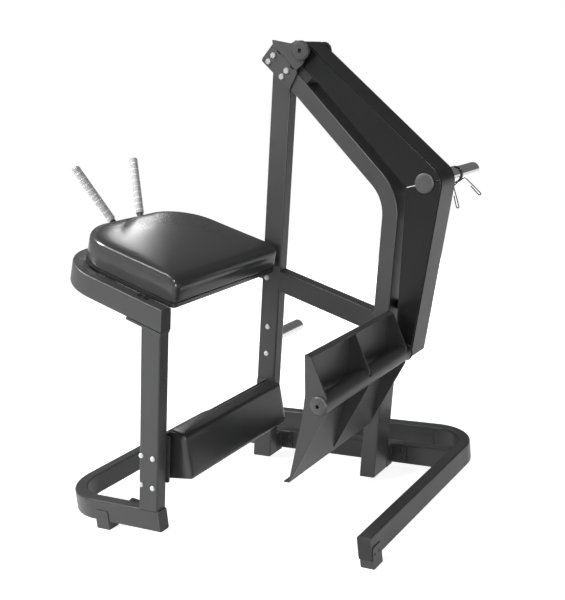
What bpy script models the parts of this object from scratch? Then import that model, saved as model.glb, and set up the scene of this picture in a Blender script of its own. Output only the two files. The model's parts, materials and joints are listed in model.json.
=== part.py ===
"""Plate loaded rear kick machine, built as an assembly of separate closed bodies.

Sizes are metres. X runs the way the leg kicks, Y runs across, Z is up.
Design zero is the outer near-left corner of the base on the floor; the last step
moves everything so that the floor centre of the bounding box is the origin.
"""
import math

import bmesh
import bpy
from mathutils import Matrix, Vector

# General clearances
GAP = 0.0003
RUN = 0.0007

# Floor centre of the finished bounding box, in design coordinates
CENTRE = Vector((0.6586, 0.5344, 0.0))

# Base tube
BASE_LOW, BASE_HIGH = 0.0285, 0.1030
BASE_WIDE = 0.0456
BASE_WALL = 0.003
BASE_LONG, BASE_DEEP = 1.2261, 1.0546
BASE_BEND = 0.165
NEAR_LEFT_END = 0.4835
RIGHT_END = 0.0850
BEAM_WIDE = 0.0455

# Leaning members
LEAN = math.radians(10.08)
POST_MID_X, POST_MID_Z = 0.5125, 0.5
POST_WIDE, POST_DEEP = 0.078, 0.047
UPRIGHT_WIDE = 0.0768
UPRIGHT_MID_X, UPRIGHT_MID_Z = 0.5144, 0.5
UPRIGHT_DEEP, UPRIGHT_INSET = 0.050, 0.002
BRACKET_DEEP = 0.050

# Middle of the column, the arm and the pivot across the machine
MID_Y = 0.697

# Bent column tube
COLUMN_WIDE, COLUMN_DEEP = 0.0583, 0.106
COLUMN_NEAR, COLUMN_FAR = MID_Y - COLUMN_DEEP / 2, MID_Y + COLUMN_DEEP / 2
COLUMN_FOOT_X = 0.9241
COLUMN_CORNER = (1.1026, 1.0455)
COLUMN_TOP = (0.6759, 1.5583)
COLUMN_BEND = 0.165

# What stands behind the column follows its far face
UPRIGHT_FAR = COLUMN_FAR - UPRIGHT_INSET
UPRIGHT_NEAR = UPRIGHT_FAR - UPRIGHT_DEEP
BEAM_NEAR = COLUMN_FAR + BRACKET_DEEP
BEAM_FAR = BEAM_NEAR + BEAM_WIDE

# Sloping plane of the torso pad and the upper beam
SLOPE = math.radians(20.25)
SLOPE_REACH = 0.938
FRAME_TOP = 0.0140
FRAME_HIGH, FRAME_DEEP = 0.0745, 0.049
FRAME_HEAD = -0.1850
FRAME_FAR = UPRIGHT_FAR
FRAME_BEND = 0.1605
FRAME_END = 0.2935
SLOPED_BEAM_HIGH = 0.079

# Torso pad and its board, on the slope
PAD_BOARD_LOW, PAD_BOARD_HIGH = -0.0012, FRAME_TOP
PAD_S0, PAD_S1 = -0.1830, 0.2890
PAD_Y0, PAD_WIDE = 0.0705, 0.6050
PAD_Y1 = PAD_Y0 + PAD_WIDE
BOARD_INSET = 0.0060
PAD_EDGE, PAD_CORNER = 0.0995, 0.175

# Handles
STEM_R = 0.0110

# Knee pad
KNEE_NEAR, KNEE_FAR = POST_DEEP + 0.0274, UPRIGHT_NEAR - 0.0274
KNEE_PLATE = 0.0060
KNEE_STEP = (KNEE_NEAR + 0.1980, KNEE_NEAR + 0.2390)

# Pivot and arm
PIVOT = (0.8225, 1.5450)
ARM_DEEP, ARM_WALL = 0.118, 0.004
ARM_NEAR, ARM_FAR = MID_Y - ARM_DEEP / 2, MID_Y + ARM_DEEP / 2
STORAGE_LONG = 0.1760
SHAFT_R = 0.0125
HUB_R = 0.0245
ELBOW = (1.2270, 1.0848)
HORN_R, HORN_LONG = 0.0255, 0.3180
ROD = (1.1130, 0.5154)
SLEEVE_R, SLEEVE_BORE, ROD_R = 0.0288, 0.0243, 0.0238
ROD_SHOULDER = 0.0350
FOOT_NEAR, FOOT_FAR = 0.0500, ARM_NEAR - ROD_SHOULDER

# Gusset plates
PLATE = 0.0067
ARM_ROOM = 0.0133
JOGGLE = (ARM_DEEP - COLUMN_DEEP) / 2 + ARM_ROOM - GAP
BOSS_R, BOSS_LONG = 0.0336, 0.0107

# Wire clip on the weight horn
COLLAR_Y = ARM_FAR + 0.1390
CLIP_WIRE, CLIP_PITCH = 0.0019, 0.0048

FRAME_PAINT = ("frame_paint", (0.105, 0.105, 0.107), 0.35, 0.42)
ARM_PAINT = ("arm_paint", (0.030, 0.030, 0.031), 0.30, 0.38)
CHROME = ("chrome", (0.62, 0.62, 0.63), 1.0, 0.16)
DARK_STEEL = ("dark_steel", (0.045, 0.045, 0.047), 0.9, 0.35)
RUBBER = ("rubber", (0.022, 0.022, 0.022), 0.0, 0.75)
VINYL = ("vinyl", (0.052, 0.052, 0.053), 0.0, 0.50)
PLASTIC = ("plastic", (0.040, 0.040, 0.040), 0.0, 0.45)
BOARD = ("board", (0.030, 0.028, 0.026), 0.0, 0.80)
GRIP_GREY = ("grip_grey", (0.50, 0.50, 0.51), 0.7, 0.35)
CAP_GREY = ("cap_grey", (0.125, 0.125, 0.127), 0.2, 0.30)


def clear_scene():
    """Removes every object of the start-up file."""
    for item in list(bpy.data.objects):
        bpy.data.objects.remove(item, do_unlink=True)


def material(name, look):
    """Gives one object its own plain shader."""
    slot, colour, metallic, roughness = look
    made = bpy.data.materials.new(slot + "." + name)
    made.use_nodes = True
    shader = made.node_tree.nodes["Principled BSDF"]
    shader.inputs["Base Color"].default_value = (*colour, 1.0)
    shader.inputs["Metallic"].default_value = metallic
    shader.inputs["Roughness"].default_value = roughness
    made.diffuse_color = (*colour, 1.0)
    return made


def finish(name, bm, look, smooth=False):
    """Turns a bmesh into a named object with outward faces."""
    bmesh.ops.remove_doubles(bm, verts=bm.verts, dist=1e-6)
    bmesh.ops.recalc_face_normals(bm, faces=bm.faces)
    mesh = bpy.data.meshes.new(name)
    bm.to_mesh(mesh)
    bm.free()
    item = bpy.data.objects.new(name, mesh)
    bpy.context.scene.collection.objects.link(item)
    mesh.materials.append(material(name, look))
    if smooth:
        shade_round(item)
    return item


def shade_round(item, angle=32.0):
    """Smooth shading that keeps edges sharper than the angle."""
    for face in item.data.polygons:
        face.use_smooth = True
    item.data.set_sharp_from_angle(angle=math.radians(angle))


def boolean(target, tool, kind):
    """Applies one exact boolean and removes the tool."""
    tool.hide_render = True
    tool.display_type = "WIRE"
    step = target.modifiers.new(kind, "BOOLEAN")
    step.operation = kind
    step.solver = "EXACT"
    step.object = tool
    graph = bpy.context.evaluated_depsgraph_get()
    mesh = bpy.data.meshes.new_from_object(target.evaluated_get(graph))
    target.modifiers.clear()
    target.data = mesh
    bpy.data.objects.remove(tool, do_unlink=True)
    return target


def cut(target, tool):
    """Takes the tool away from the target."""
    return boolean(target, tool, "DIFFERENCE")


def join(target, tool):
    """Joins the tool to the target."""
    return boolean(target, tool, "UNION")


def triangulate(item):
    """Splits every face into triangles, which the next boolean takes more surely."""
    bm = bmesh.new()
    bm.from_mesh(item.data)
    bmesh.ops.triangulate(bm, faces=bm.faces[:])
    bm.to_mesh(item.data)
    bm.free()


class Frame:
    """A flat working frame: a point and three unit directions."""

    def __init__(self, origin, a, b, c):
        self.origin, self.a, self.b, self.c = (Vector(v) for v in (origin, a, b, c))

    def at(self, a, b, c=0.0):
        """Point of the frame in design coordinates."""
        return self.origin + self.a * a + self.b * b + self.c * c

    def plane(self, c):
        """Plane across the frame's third direction."""
        return self.at(0, 0, c), self.c


SIDE = Frame((0, 0, 0), (1, 0, 0), (0, 0, 1), (0, 1, 0))
PLAN = Frame((0, 0, 0), (1, 0, 0), (0, 1, 0), (0, 0, 1))
SLOPED = Frame(
    (math.sin(SLOPE) * SLOPE_REACH, 0, math.cos(SLOPE) * SLOPE_REACH),
    (math.cos(SLOPE), 0, -math.sin(SLOPE)), (0, 1, 0), (math.sin(SLOPE), 0, math.cos(SLOPE)))


def run_direction(p, q):
    """Unit vector from p to q in a plane."""
    step = Vector((q[0] - p[0], q[1] - p[1]))
    return step.normalized()


def diagonal_frame():
    """Frame on the near face of the diagonal: a runs down it, b away from its top face."""
    down = run_direction(COLUMN_TOP, COLUMN_CORNER)
    away = Vector((-down.y, down.x))
    if away.y < 0:
        away = -away
    top = Vector(COLUMN_TOP) + away * (COLUMN_WIDE / 2)
    return Frame((top.x, 0, top.y), (down.x, 0, down.y), (away.x, 0, away.y), (0, 1, 0))


def fillet(corners, radii, steps=5):
    """Rounds the corners of a closed outline with arcs."""
    count = len(corners)
    if not isinstance(radii, (list, tuple)):
        radii = [radii] * count
    points = []
    for i, corner in enumerate(corners):
        here = Vector(corner)
        back = (Vector(corners[i - 1]) - here).normalized()
        ahead = (Vector(corners[(i + 1) % count]) - here).normalized()
        if radii[i] <= 0:
            points.append(tuple(here))
            continue
        half = back.angle(ahead) / 2
        reach = radii[i] / math.tan(half)
        centre = here + (back + ahead).normalized() * (radii[i] / math.sin(half))
        start, end = here + back * reach - centre, here + ahead * reach - centre
        sweep = start.angle_signed(end)
        for k in range(steps + 1):
            turn = -sweep * k / steps
            c, s = math.cos(turn), math.sin(turn)
            points.append((centre.x + start.x * c - start.y * s, centre.y + start.x * s + start.y * c))
    return points


def inset_corners(corners, inset):
    """Moves every side of a counter-clockwise outline inwards."""
    count, moved = len(corners), []
    for i in range(count):
        p, q, r = Vector(corners[i - 1]), Vector(corners[i]), Vector(corners[(i + 1) % count])
        e, f = (q - p).normalized(), (r - q).normalized()
        n, m = Vector((-e.y, e.x)), Vector((-f.y, f.x))
        moved.append(tuple(q + (n + m) * (inset / (1 + n.dot(m)))))
    return moved


def loft(rings, closed_ends=True):
    """Skins rings of equal count; the ends are closed by one face each."""
    bm = bmesh.new()
    rows = [[bm.verts.new(p) for p in ring] for ring in rings]
    count = len(rows[0])
    for low, high in zip(rows, rows[1:]):
        for i in range(count):
            bm.faces.new((low[i - 1], low[i], high[i], high[i - 1]))
    if closed_ends:
        bm.faces.new(rows[0])
        bm.faces.new(rows[-1])
    return bm


def prism(name, outline, c0, c1, look, frame=SIDE, smooth=False):
    """Outline carried between two levels of a frame."""
    rings = [[frame.at(a, b, c) for a, b in outline] for c in (c0, c1)]
    return finish(name, loft(rings), look, smooth)


def box(name, a0, a1, b0, b1, c0, c1, look, frame=SIDE):
    """Straight block in a frame."""
    return prism(name, [(a0, b0), (a1, b0), (a1, b1), (a0, b1)], c0, c1, look, frame)


def across(axis):
    """Two unit directions square to an axis."""
    axis = Vector(axis).normalized()
    first = Vector((0, 0, 1)) if abs(axis.z) < 0.9 else Vector((1, 0, 0))
    first = (first - axis * first.dot(axis)).normalized()
    return axis, first, axis.cross(first)


def turned(name, start, axis, profile, look, steps=24):
    """Body of revolution; the profile is (distance, radius) and may close on the axis."""
    axis, u, v = across(axis)
    start = Vector(start)
    bm = bmesh.new()
    rows = []
    for t, r in profile:
        centre = start + axis * t
        if r <= 0:
            rows.append([bm.verts.new(centre)] * steps)
            continue
        rows.append([bm.verts.new(centre + (u * math.cos(a) + v * math.sin(a)) * r)
                     for a in (2 * math.pi * k / steps for k in range(steps))])
    pairs = list(zip(rows, rows[1:]))
    if profile[0][1] > 0:
        pairs.append((rows[-1], rows[0]))
    for low, high in pairs:
        for i in range(steps):
            corner = list(dict.fromkeys((low[i - 1], low[i], high[i], high[i - 1])))
            if len(corner) > 2:
                bm.faces.new(corner)
    return finish(name, bm, look, True)


def cylinder(name, start, axis, length, radius, look=DARK_STEEL, steps=14):
    """Plain round bar."""
    return turned(name, start, axis, [(0, 0), (0, radius), (length, radius), (length, 0)], look, steps)


def bolt(name, start, axis, sections, look):
    """Fastener from (length, radius, is_hex) sections laid end to end."""
    axis, u, v = across(axis)
    at, rings = Vector(start), []
    for length, radius, is_hex in sections:
        for along in (0.0, length):
            ring = []
            for k in range(12):
                a = math.radians(30 * k)
                r = radius
                if is_hex:
                    r = radius / math.cos(math.radians((30 * k) % 60 - 30))
                ring.append(at + axis * along + (u * math.cos(a) + v * math.sin(a)) * r)
            rings.append(ring)
        at = at + axis * length
    return finish(name, loft(rings), look, True)


def button_screw(name, start, axis, radius, shank_radius, grip, look=CHROME, hollow=0.0022):
    """Low domed head standing on a face, with a short shank behind it."""
    high = radius * 0.45
    profile = [(-high + hollow, 0), (-high + hollow, radius * 0.32), (-high, radius * 0.34),
               (-high, radius * 0.55), (-high * 0.60, radius * 0.90),
               (0, radius), (0, shank_radius), (grip, shank_radius), (grip, 0)]
    return turned(name, start, axis, profile, look, 12)


def tube_profile(wide, deep, corner, wall, steps=2):
    """Outer and inner outlines of a rectangular tube."""
    half = [(-wide / 2, -deep / 2), (wide / 2, -deep / 2), (wide / 2, deep / 2), (-wide / 2, deep / 2)]
    outer = fillet(half, corner, steps)
    inner = fillet(inset_corners(half, wall), max(corner - wall, 0.0012), steps)
    return outer, inner


def meet(point, direction, plane):
    """Slides a point along a direction onto a plane."""
    if plane is None:
        return point
    spot, normal = plane
    return point + direction * ((spot - point).dot(normal) / direction.dot(normal))


def tube(name, path, profile, look, frame, depth_mid, planes=(None, None)):
    """Hollow tube along a path of (point, direction) pairs in a frame."""
    outer, inner = profile
    last = len(path) - 1
    bm = bmesh.new()
    skins = []
    for outline in (outer, inner):
        rows = []
        for i, (spot, way) in enumerate(path):
            side = Vector((-way.y, way.x))
            heading = frame.a * way.x + frame.b * way.y
            plane = planes[0] if i == 0 else planes[1] if i == last else None
            row = []
            for u, v in outline:
                where = frame.at(spot.x + side.x * u, spot.y + side.y * u, depth_mid + v)
                row.append(bm.verts.new(meet(where, heading, plane)))
            rows.append(row)
        for low, high in zip(rows, rows[1:]):
            for i in range(len(low)):
                bm.faces.new((low[i - 1], low[i], high[i], high[i - 1]))
        skins.append(rows)
    for end in (0, -1):
        out, inn = skins[0][end], skins[1][end]
        for i in range(len(out)):
            bm.faces.new((out[i - 1], out[i], inn[i], inn[i - 1]))
    return finish(name, bm, look, True)


def bent_path(corners, radius, steps=6):
    """Open path of (point, direction) pairs with equal bends at its inner corners."""
    path = [(Vector(corners[0]), run_direction(corners[0], corners[1]))]
    for before, corner, after in zip(corners, corners[1:], corners[2:]):
        into, away = run_direction(before, corner), run_direction(corner, after)
        turn = into.angle_signed(away)
        reach = radius * math.tan(abs(turn) / 2)
        start = Vector(corner) - into * reach
        side = Vector((-into.y, into.x)) * (-1 if turn > 0 else 1)
        centre = start + side * radius
        for k in range(steps + 1):
            a = -turn * k / steps
            spin = Matrix.Rotation(a, 2)
            path.append((centre + spin @ (start - centre), spin @ into))
    path.append((Vector(corners[-1]), run_direction(corners[-2], corners[-1])))
    return path


def lean_x(z, mid_x=UPRIGHT_MID_X, mid_z=UPRIGHT_MID_Z):
    """X of a leaning member's middle line at a height."""
    return mid_x + math.tan(LEAN) * (z - mid_z)


def column_x(z):
    """X of the column's middle line at a height."""
    slope = (COLUMN_CORNER[0] - COLUMN_FOOT_X) / (COLUMN_CORNER[1] - BASE_LOW)
    return COLUMN_FOOT_X + slope * (z - BASE_LOW)


def base_parts():
    """Bent base tube, its end caps and the cross beam."""
    mid = BASE_WIDE / 2
    mid_z = (BASE_LOW + BASE_HIGH) / 2
    corners = [(NEAR_LEFT_END, mid), (mid, mid), (mid, BASE_DEEP - mid),
               (BASE_LONG - mid, BASE_DEEP - mid), (BASE_LONG - mid, RIGHT_END)]
    profile = tube_profile(BASE_WIDE, BASE_HIGH - BASE_LOW, 0.006, BASE_WALL)
    tube("base_tube", bent_path(corners, BASE_BEND), profile, FRAME_PAINT, PLAN, mid_z)
    high = BASE_HIGH - BASE_LOW
    for name, frame in (
            ("base_cap_left", Frame((NEAR_LEFT_END, mid, mid_z), (0, 1, 0), (0, 0, 1), (1, 0, 0))),
            ("base_cap_right", Frame((BASE_LONG - mid, RIGHT_END, mid_z), (1, 0, 0), (0, 0, 1),
                                     (0, -1, 0)))):
        end_cap(name, frame, BASE_WIDE, high, 0.006, BASE_WALL)
    beam_mid = (BEAM_NEAR + BEAM_FAR) / 2
    path = [(Vector((BASE_WIDE + GAP, beam_mid)), Vector((1, 0))),
            (Vector((BASE_LONG - BASE_WIDE - GAP, beam_mid)), Vector((1, 0)))]
    beam = tube_profile(BEAM_FAR - BEAM_NEAR, high, 0.006, BASE_WALL)
    tube("cross_beam", path, beam, FRAME_PAINT, PLAN, mid_z)


def end_cap(name, frame, wide, high, corner, wall, skirt_long=0.0150, room=0.0005):
    """Plug with a thin face and a hollow skirt inside the tube."""
    half = [(-wide / 2, -high / 2), (wide / 2, -high / 2), (wide / 2, high / 2), (-wide / 2, high / 2)]
    skirt = inset_corners(half, wall + room)
    hollow = inset_corners(half, wall + room + 0.0025)
    rings = [([frame.at(a, b, c) for a, b in fillet(outline, radius, 2)]) for outline, radius, c in (
        (hollow, 0.001, -skirt_long), (hollow, 0.001, 0.0008), (hollow, 0.001, 0.0008),
        (skirt, 0.002, -skirt_long), (skirt, 0.002, GAP), (half, corner, GAP), (half, corner, 0.0016),
        (inset_corners(half, 0.0012), corner - 0.0012, 0.0028))]
    bm = bmesh.new()
    rows = [[bm.verts.new(p) for p in ring] for ring in (rings[1], rings[0], *rings[3:])]
    for low, high_row in zip(rows, rows[1:]):
        for i in range(len(low)):
            bm.faces.new((low[i - 1], low[i], high_row[i], high_row[i - 1]))
    bm.faces.new(rows[0])
    bm.faces.new(rows[-1])
    finish(name, bm, PLASTIC, True)


def foot(name, frame, length, pads):
    """Foot block under the tube with a side plate and two screws on the tube's face."""
    low = -BASE_LOW
    body = box(name, 0, length, low, -GAP, -BASE_WIDE + 0.0020, 0.0030, FRAME_PAINT, frame)
    high = 0.0402
    plate = fillet([(0, low + 0.010), (length, low + 0.010), (length, high), (0, high)],
                   [0, 0, 0.009, 0.009], 4)
    join(body, prism("plate", plate, GAP, 0.0030, FRAME_PAINT, frame))
    for along in pads:
        spot = frame.at(along, 0.0148, 0.0025)
        join(body, turned("head", spot, frame.c,
                          [(0, 0), (0, 0.0042), (0.0016, 0.0042), (0.0028, 0.0026), (0.0028, 0)],
                          FRAME_PAINT, 12))
    shade_round(body)
    return body


def feet():
    """Four feet at the ends of the side runs."""
    low = BASE_LOW
    pads = (0.0140, 0.0436)
    foot("foot_near_left", Frame((0.1997, 0, low), (1, 0, 0), (0, 0, 1), (0, -1, 0)), 0.0576, pads)
    foot("foot_near_right", Frame((BASE_LONG, RIGHT_END + 0.003, low), (0, 1, 0), (0, 0, 1), (1, 0, 0)),
         0.0576, pads)
    inner = BASE_DEEP - BASE_WIDE
    foot("foot_far_left", Frame((0.2150, inner, low), (1, 0, 0), (0, 0, 1), (0, -1, 0)), 0.0576, pads)
    foot("foot_far_right", Frame((0.9775, inner, low), (1, 0, 0), (0, 0, 1), (0, -1, 0)), 0.0576, pads)


def left_post():
    """Leaning near-left post, its flange and the two bolts through the pad frame."""
    way = Vector((math.sin(LEAN), math.cos(LEAN)))
    profile = tube_profile(POST_WIDE, POST_DEEP, 0.006, 0.003)
    base = Vector((lean_x(0.2, POST_MID_X, POST_MID_Z), 0.2))
    flange_low = FRAME_TOP - FRAME_HIGH - GAP - 0.0080
    path = [(base, way), (base + way * 0.4, way)]
    post = tube("post_left", path, profile, FRAME_PAINT, SIDE, POST_DEEP / 2,
                (PLAN.plane(BASE_HIGH + GAP), SLOPED.plane(flange_low - GAP)))
    for name, x, z in knee_bolt_spots():
        cut(post, cylinder("tool", (x, -0.01, z), (0, 1, 0), POST_DEEP + 0.02, 0.0043))
    outline = fillet([(0.1640, 0.0), (FRAME_END + 0.0140, 0.0), (FRAME_END + 0.0140, FRAME_DEEP),
                      (0.1640, FRAME_DEEP)], 0.003, 3)
    flange = prism("post_flange", outline, flange_low, flange_low + 0.0080, FRAME_PAINT, SLOPED, True)
    for s, y in flange_bolt_spots():
        cut(flange, cylinder("tool", SLOPED.at(s, y, flange_low - 0.01), SLOPED.c, 0.03, 0.0053))
    for i, (s, y) in enumerate(flange_bolt_spots()):
        head = FRAME_TOP + GAP
        bolt("post_bolt_%d" % (i + 1), SLOPED.at(s, y, head + 0.0055), -SLOPED.c,
             [(0.0055, 0.0078, True), (FRAME_HIGH + 0.0080 + 4 * GAP, 0.0050, False),
              (0.0070, 0.0078, True), (0.0030, 0.0048, False)], DARK_STEEL)
    return post


def flange_bolt_spots():
    """Bolts of the post flange, on the slope."""
    return (0.1830, 0.0290), (0.2090, 0.0290)


def knee_bolt_spots():
    """Four button screws on the front of the post."""
    mid_x, mid_z = 0.4610, 0.2420
    along = (0.0181, 0.1050 / 2)
    return [("knee_bolt_%d" % (i + 1), mid_x + u * 0.0242 + v * along[0] / 2, mid_z - u * 0.0034 + v * along[1])
            for i, (u, v) in enumerate(((-1, 1), (1, 1), (-1, -1), (1, -1)))]


def pad_frame():
    """U-shaped sloping frame, its end cap and the two straps under the pad board."""
    mid = FRAME_DEEP / 2
    far_mid = FRAME_FAR - mid
    head = FRAME_HEAD + mid
    corners = [(0.50, mid), (head, mid), (head, far_mid), (0.50, far_mid)]
    path = bent_path(corners, FRAME_BEND, 7)
    lean = Vector((math.sin(LEAN), 0, math.cos(LEAN)))
    across_lean = Vector((math.cos(LEAN), 0, -math.sin(LEAN)))
    near_end = (SLOPED.at(FRAME_END, 0, FRAME_TOP), across_lean)
    upright_left = Vector((lean_x(0.5) - UPRIGHT_WIDE / 2 / math.cos(LEAN), 0, 0.5)) - across_lean * GAP
    profile = tube_profile(FRAME_DEEP, FRAME_HIGH, 0.006, 0.003)
    frame = tube("pad_frame", path, profile, FRAME_PAINT, SLOPED, FRAME_TOP - FRAME_HIGH / 2,
                 (near_end, (upright_left, across_lean)))
    for s, y in flange_bolt_spots():
        cut(frame, cylinder("tool", SLOPED.at(s, y, FRAME_TOP - 0.1), SLOPED.c, 0.12, 0.0053))
    tilt = Frame(SLOPED.at(FRAME_END, mid, FRAME_TOP) - lean * (FRAME_HIGH / 2 / math.cos(SLOPE - LEAN)),
                 (0, 1, 0), lean, across_lean)
    end_cap("pad_frame_cap", tilt, FRAME_DEEP, FRAME_HIGH / math.cos(SLOPE - LEAN), 0.006, 0.003, 0.0040, 0.0013)
    low = PAD_BOARD_LOW - GAP - 0.006
    for name, s in (("pad_strap_head", 0.0), ("pad_strap_tail", 0.165)):
        box(name, s, s + 0.040, FRAME_DEEP + GAP, FRAME_FAR - FRAME_DEEP - GAP, low, low + 0.006,
            FRAME_PAINT, SLOPED)


def rounded_levels(frame, corners, radii, levels):
    """Stack of inset outlines in a frame."""
    rings = []
    for c, inset in levels:
        shape = inset_corners(corners, inset)
        size = [max(r - inset, 0.004) for r in radii]
        rings.append([frame.at(a, b, c) for a, b in fillet(shape, size, 6)])
    return rings


def torso_pad():
    """Board and crowned cushion; the cushion reaches over the head end of the frame."""
    near, far = PAD_Y0 + BOARD_INSET, PAD_Y1 - BOARD_INSET
    head, tail = PAD_S0 + 0.0500, PAD_S1 - BOARD_INSET
    board = fillet([(head, near), (tail, near), (tail, far), (head, far)], [0.110, 0.018, 0.018, 0.110], 8)
    prism("torso_board", board, PAD_BOARD_LOW, PAD_BOARD_HIGH, BOARD, SLOPED, True)
    corners = [(PAD_S0, PAD_Y0), (PAD_S1, PAD_Y0), (PAD_S1, PAD_Y1), (PAD_S0, PAD_Y1)]
    outline = fillet(corners, [PAD_CORNER, 0.026, 0.026, PAD_CORNER], 6)
    rings = [[SLOPED.at(*drawn_in(spot, side, tail), high) for spot in outline]
             for high, side, tail in pad_levels()]
    finish("torso_pad", loft(rings), VINYL, True)


def drawn_in(spot, side, tail):
    """Point of the pad's outline, drawn in from its head and long sides and from its tail."""
    long, wide = PAD_S1 - PAD_S0, PAD_Y1 - PAD_Y0
    return (PAD_S0 + side + (spot[0] - PAD_S0) * (long - side - tail) / long,
            PAD_Y0 + side + (spot[1] - PAD_Y0) * (wide - 2 * side) / wide)


def pad_levels():
    """Height, side inset and tail inset: tight sides, and a waist and a wide roll at the tail."""
    low, top = PAD_BOARD_HIGH + GAP, PAD_EDGE
    return [(low, 0.0060, 0.0045), (low + 0.0030, 0.0022, 0.0012), (low + 0.0120, 0.0004, 0.0),
            (top - 0.0500, 0.0, 0.0010), (top - 0.0430, 0.0, 0.0032), (top - 0.0360, 0.0, 0.0014),
            (top - 0.0220, 0.0010, 0.0040), (top - 0.0110, 0.0042, 0.0130), (top - 0.0035, 0.0100, 0.0260),
            (top + 0.0010, 0.0190, 0.0420), (top + 0.0036, 0.0420, 0.0700), (top + 0.0056, 0.0900, 0.1100),
            (top + 0.0066, 0.1600, 0.1600)]


def handles():
    """Two bent handle stems with ribbed grips, leaning out past the head of the frame."""
    for name, base_y, tip_y, foot_y in (("left", 0.3234, 0.2404, 0.3360), ("right", 0.4693, 0.5522, 0.4567)):
        base = Vector((-0.2035, base_y, 0.0765))
        tip = Vector((-0.3424, tip_y, 0.2480))
        way = (tip - base).normalized()
        stem_top = base + way * 0.190
        points = [Vector((-0.2035, foot_y, -0.0430)), Vector((-0.2035, foot_y, 0.0100))]
        bend_end = base + way * 0.004
        for k in range(1, 8):
            t = k / 8
            low, high = points[1], bend_end
            ctrl_a, ctrl_b = low + Vector((0, 0, 0.030)), high - way * 0.030
            points.append(low * (1 - t) ** 3 + ctrl_a * 3 * t * (1 - t) ** 2
                          + ctrl_b * 3 * t * t * (1 - t) + high * t ** 3)
        points += [bend_end, stem_top]
        stem = round_bar("handle_" + name, [SLOPED.at(*p) for p in points], STEM_R)
        lug = box("lug", FRAME_HEAD - 0.0100, FRAME_HEAD - GAP, foot_y - 0.016, foot_y + 0.016,
                  -0.0450, -0.0080, FRAME_PAINT, SLOPED)
        join(stem, lug)
        shade_round(stem)
        grip(name, base + way * 0.0060, way, (tip - base).length - 0.0060)


def round_bar(name, spots, radius, steps=16, look=FRAME_PAINT):
    """Round bar through points in design coordinates."""
    rings = []
    normal = None
    for i, spot in enumerate(spots):
        heading = (spots[min(i + 1, len(spots) - 1)] - spots[max(i - 1, 0)]).normalized()
        if normal is None:
            normal = across(heading)[1]
        normal = (normal - heading * normal.dot(heading)).normalized()
        other = heading.cross(normal)
        rings.append([spot + (normal * math.cos(a) + other * math.sin(a)) * radius
                      for a in (2 * math.pi * k / steps for k in range(steps))])
    return finish(name, loft(rings), look, True)


def grip(name, start, way, length):
    """Rubber sleeve with nine raised rings and a closed tip."""
    start_at, axis = SLOPED.at(*start), SLOPED.at(*(start + way)) - SLOPED.at(*start)
    bore, core, rib, pitch = STEM_R + RUN, 0.0146, 0.0160, length / 9.6
    profile = [(0, bore), (0, core)]
    for i in range(9):
        at = pitch * (0.30 + i)
        profile += [(at, rib), (at + pitch * 0.50, rib), (at + pitch * 0.75, core)]
    tip = length - 0.004
    profile += [(tip, core), (length, core - 0.004), (length, 0), (length - 0.0060, 0), (length - 0.0060, bore)]
    closed = profile[-2:-1] + profile[-1:] + profile[:-2]
    turned("grip_" + name, start_at, axis, closed, GRIP_GREY, 12)


def upright():
    """Leaning upright, its foot bracket, horn and screws."""
    way = Vector((math.sin(LEAN), math.cos(LEAN)))
    profile = tube_profile(UPRIGHT_WIDE, UPRIGHT_DEEP, 0.006, 0.003)
    base = Vector((lean_x(0.2), 0.2))
    under = DIAGONAL.at(0, -COLUMN_WIDE - GAP), DIAGONAL.b
    path = [(base, way), (base + way * 1.0, way)]
    mid_y = (UPRIGHT_NEAR + UPRIGHT_FAR) / 2
    post = tube("upright", path, profile, FRAME_PAINT, SIDE, mid_y, (PLAN.plane(BASE_LOW), under))
    for name, x, z in UPRIGHT_SCREWS:
        cut(post, cylinder("tool", (x, UPRIGHT_NEAR - 0.02, z), (0, 1, 0), UPRIGHT_DEEP + 0.04, 0.0044))
        button_screw(name, (x, UPRIGHT_NEAR - GAP, z), (0, 1, 0), 0.0080, 0.0040, 0.0040 + UPRIGHT_DEEP)
    mid_z = (BASE_LOW + BASE_HIGH) / 2
    foot_bracket("upright_foot", lean_x(mid_z), 0.0630, 0.1600, UPRIGHT_FAR)
    foot_bracket("column_foot", column_x(mid_z), 0.0500, 0.1715, COLUMN_FAR)
    storage_horn()


UPRIGHT_SCREWS = (("upright_screw", 0.5413, 0.7510), ("horn_screw_high", 0.5240, 0.5600),
                  ("horn_screw_low", 0.5050, 0.4540))


def foot_bracket(name, mid, spacer_wide, flange_wide, back):
    """Spacer and flange that fix a leaning tube to the cross beam, with two screw heads each side."""
    face = BEAM_NEAR - GAP
    low, high = BASE_LOW + 0.0060, BASE_HIGH - 0.0045
    left, right = mid - flange_wide / 2, mid + flange_wide / 2
    body = box(name, mid - spacer_wide / 2, mid + spacer_wide / 2, BASE_LOW, high, back + GAP,
               face - 0.0055, FRAME_PAINT)
    plate = fillet([(left, low), (right, low), (right, high), (left, high)], 0.003, 3)
    join(body, prism("flange", plate, face - 0.0060, face, FRAME_PAINT))
    for x in (left + 0.0150, right - 0.0150):
        for z in (low + 0.0170, high - 0.0170):
            join(body, turned("head", (x, face - 0.0055, z), (0, -1, 0),
                              [(0, 0), (0, 0.0075), (0.0040, 0.0072), (0.0048, 0.0060), (0.0048, 0)],
                              FRAME_PAINT, 12))
    shade_round(body)
    return body


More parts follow.
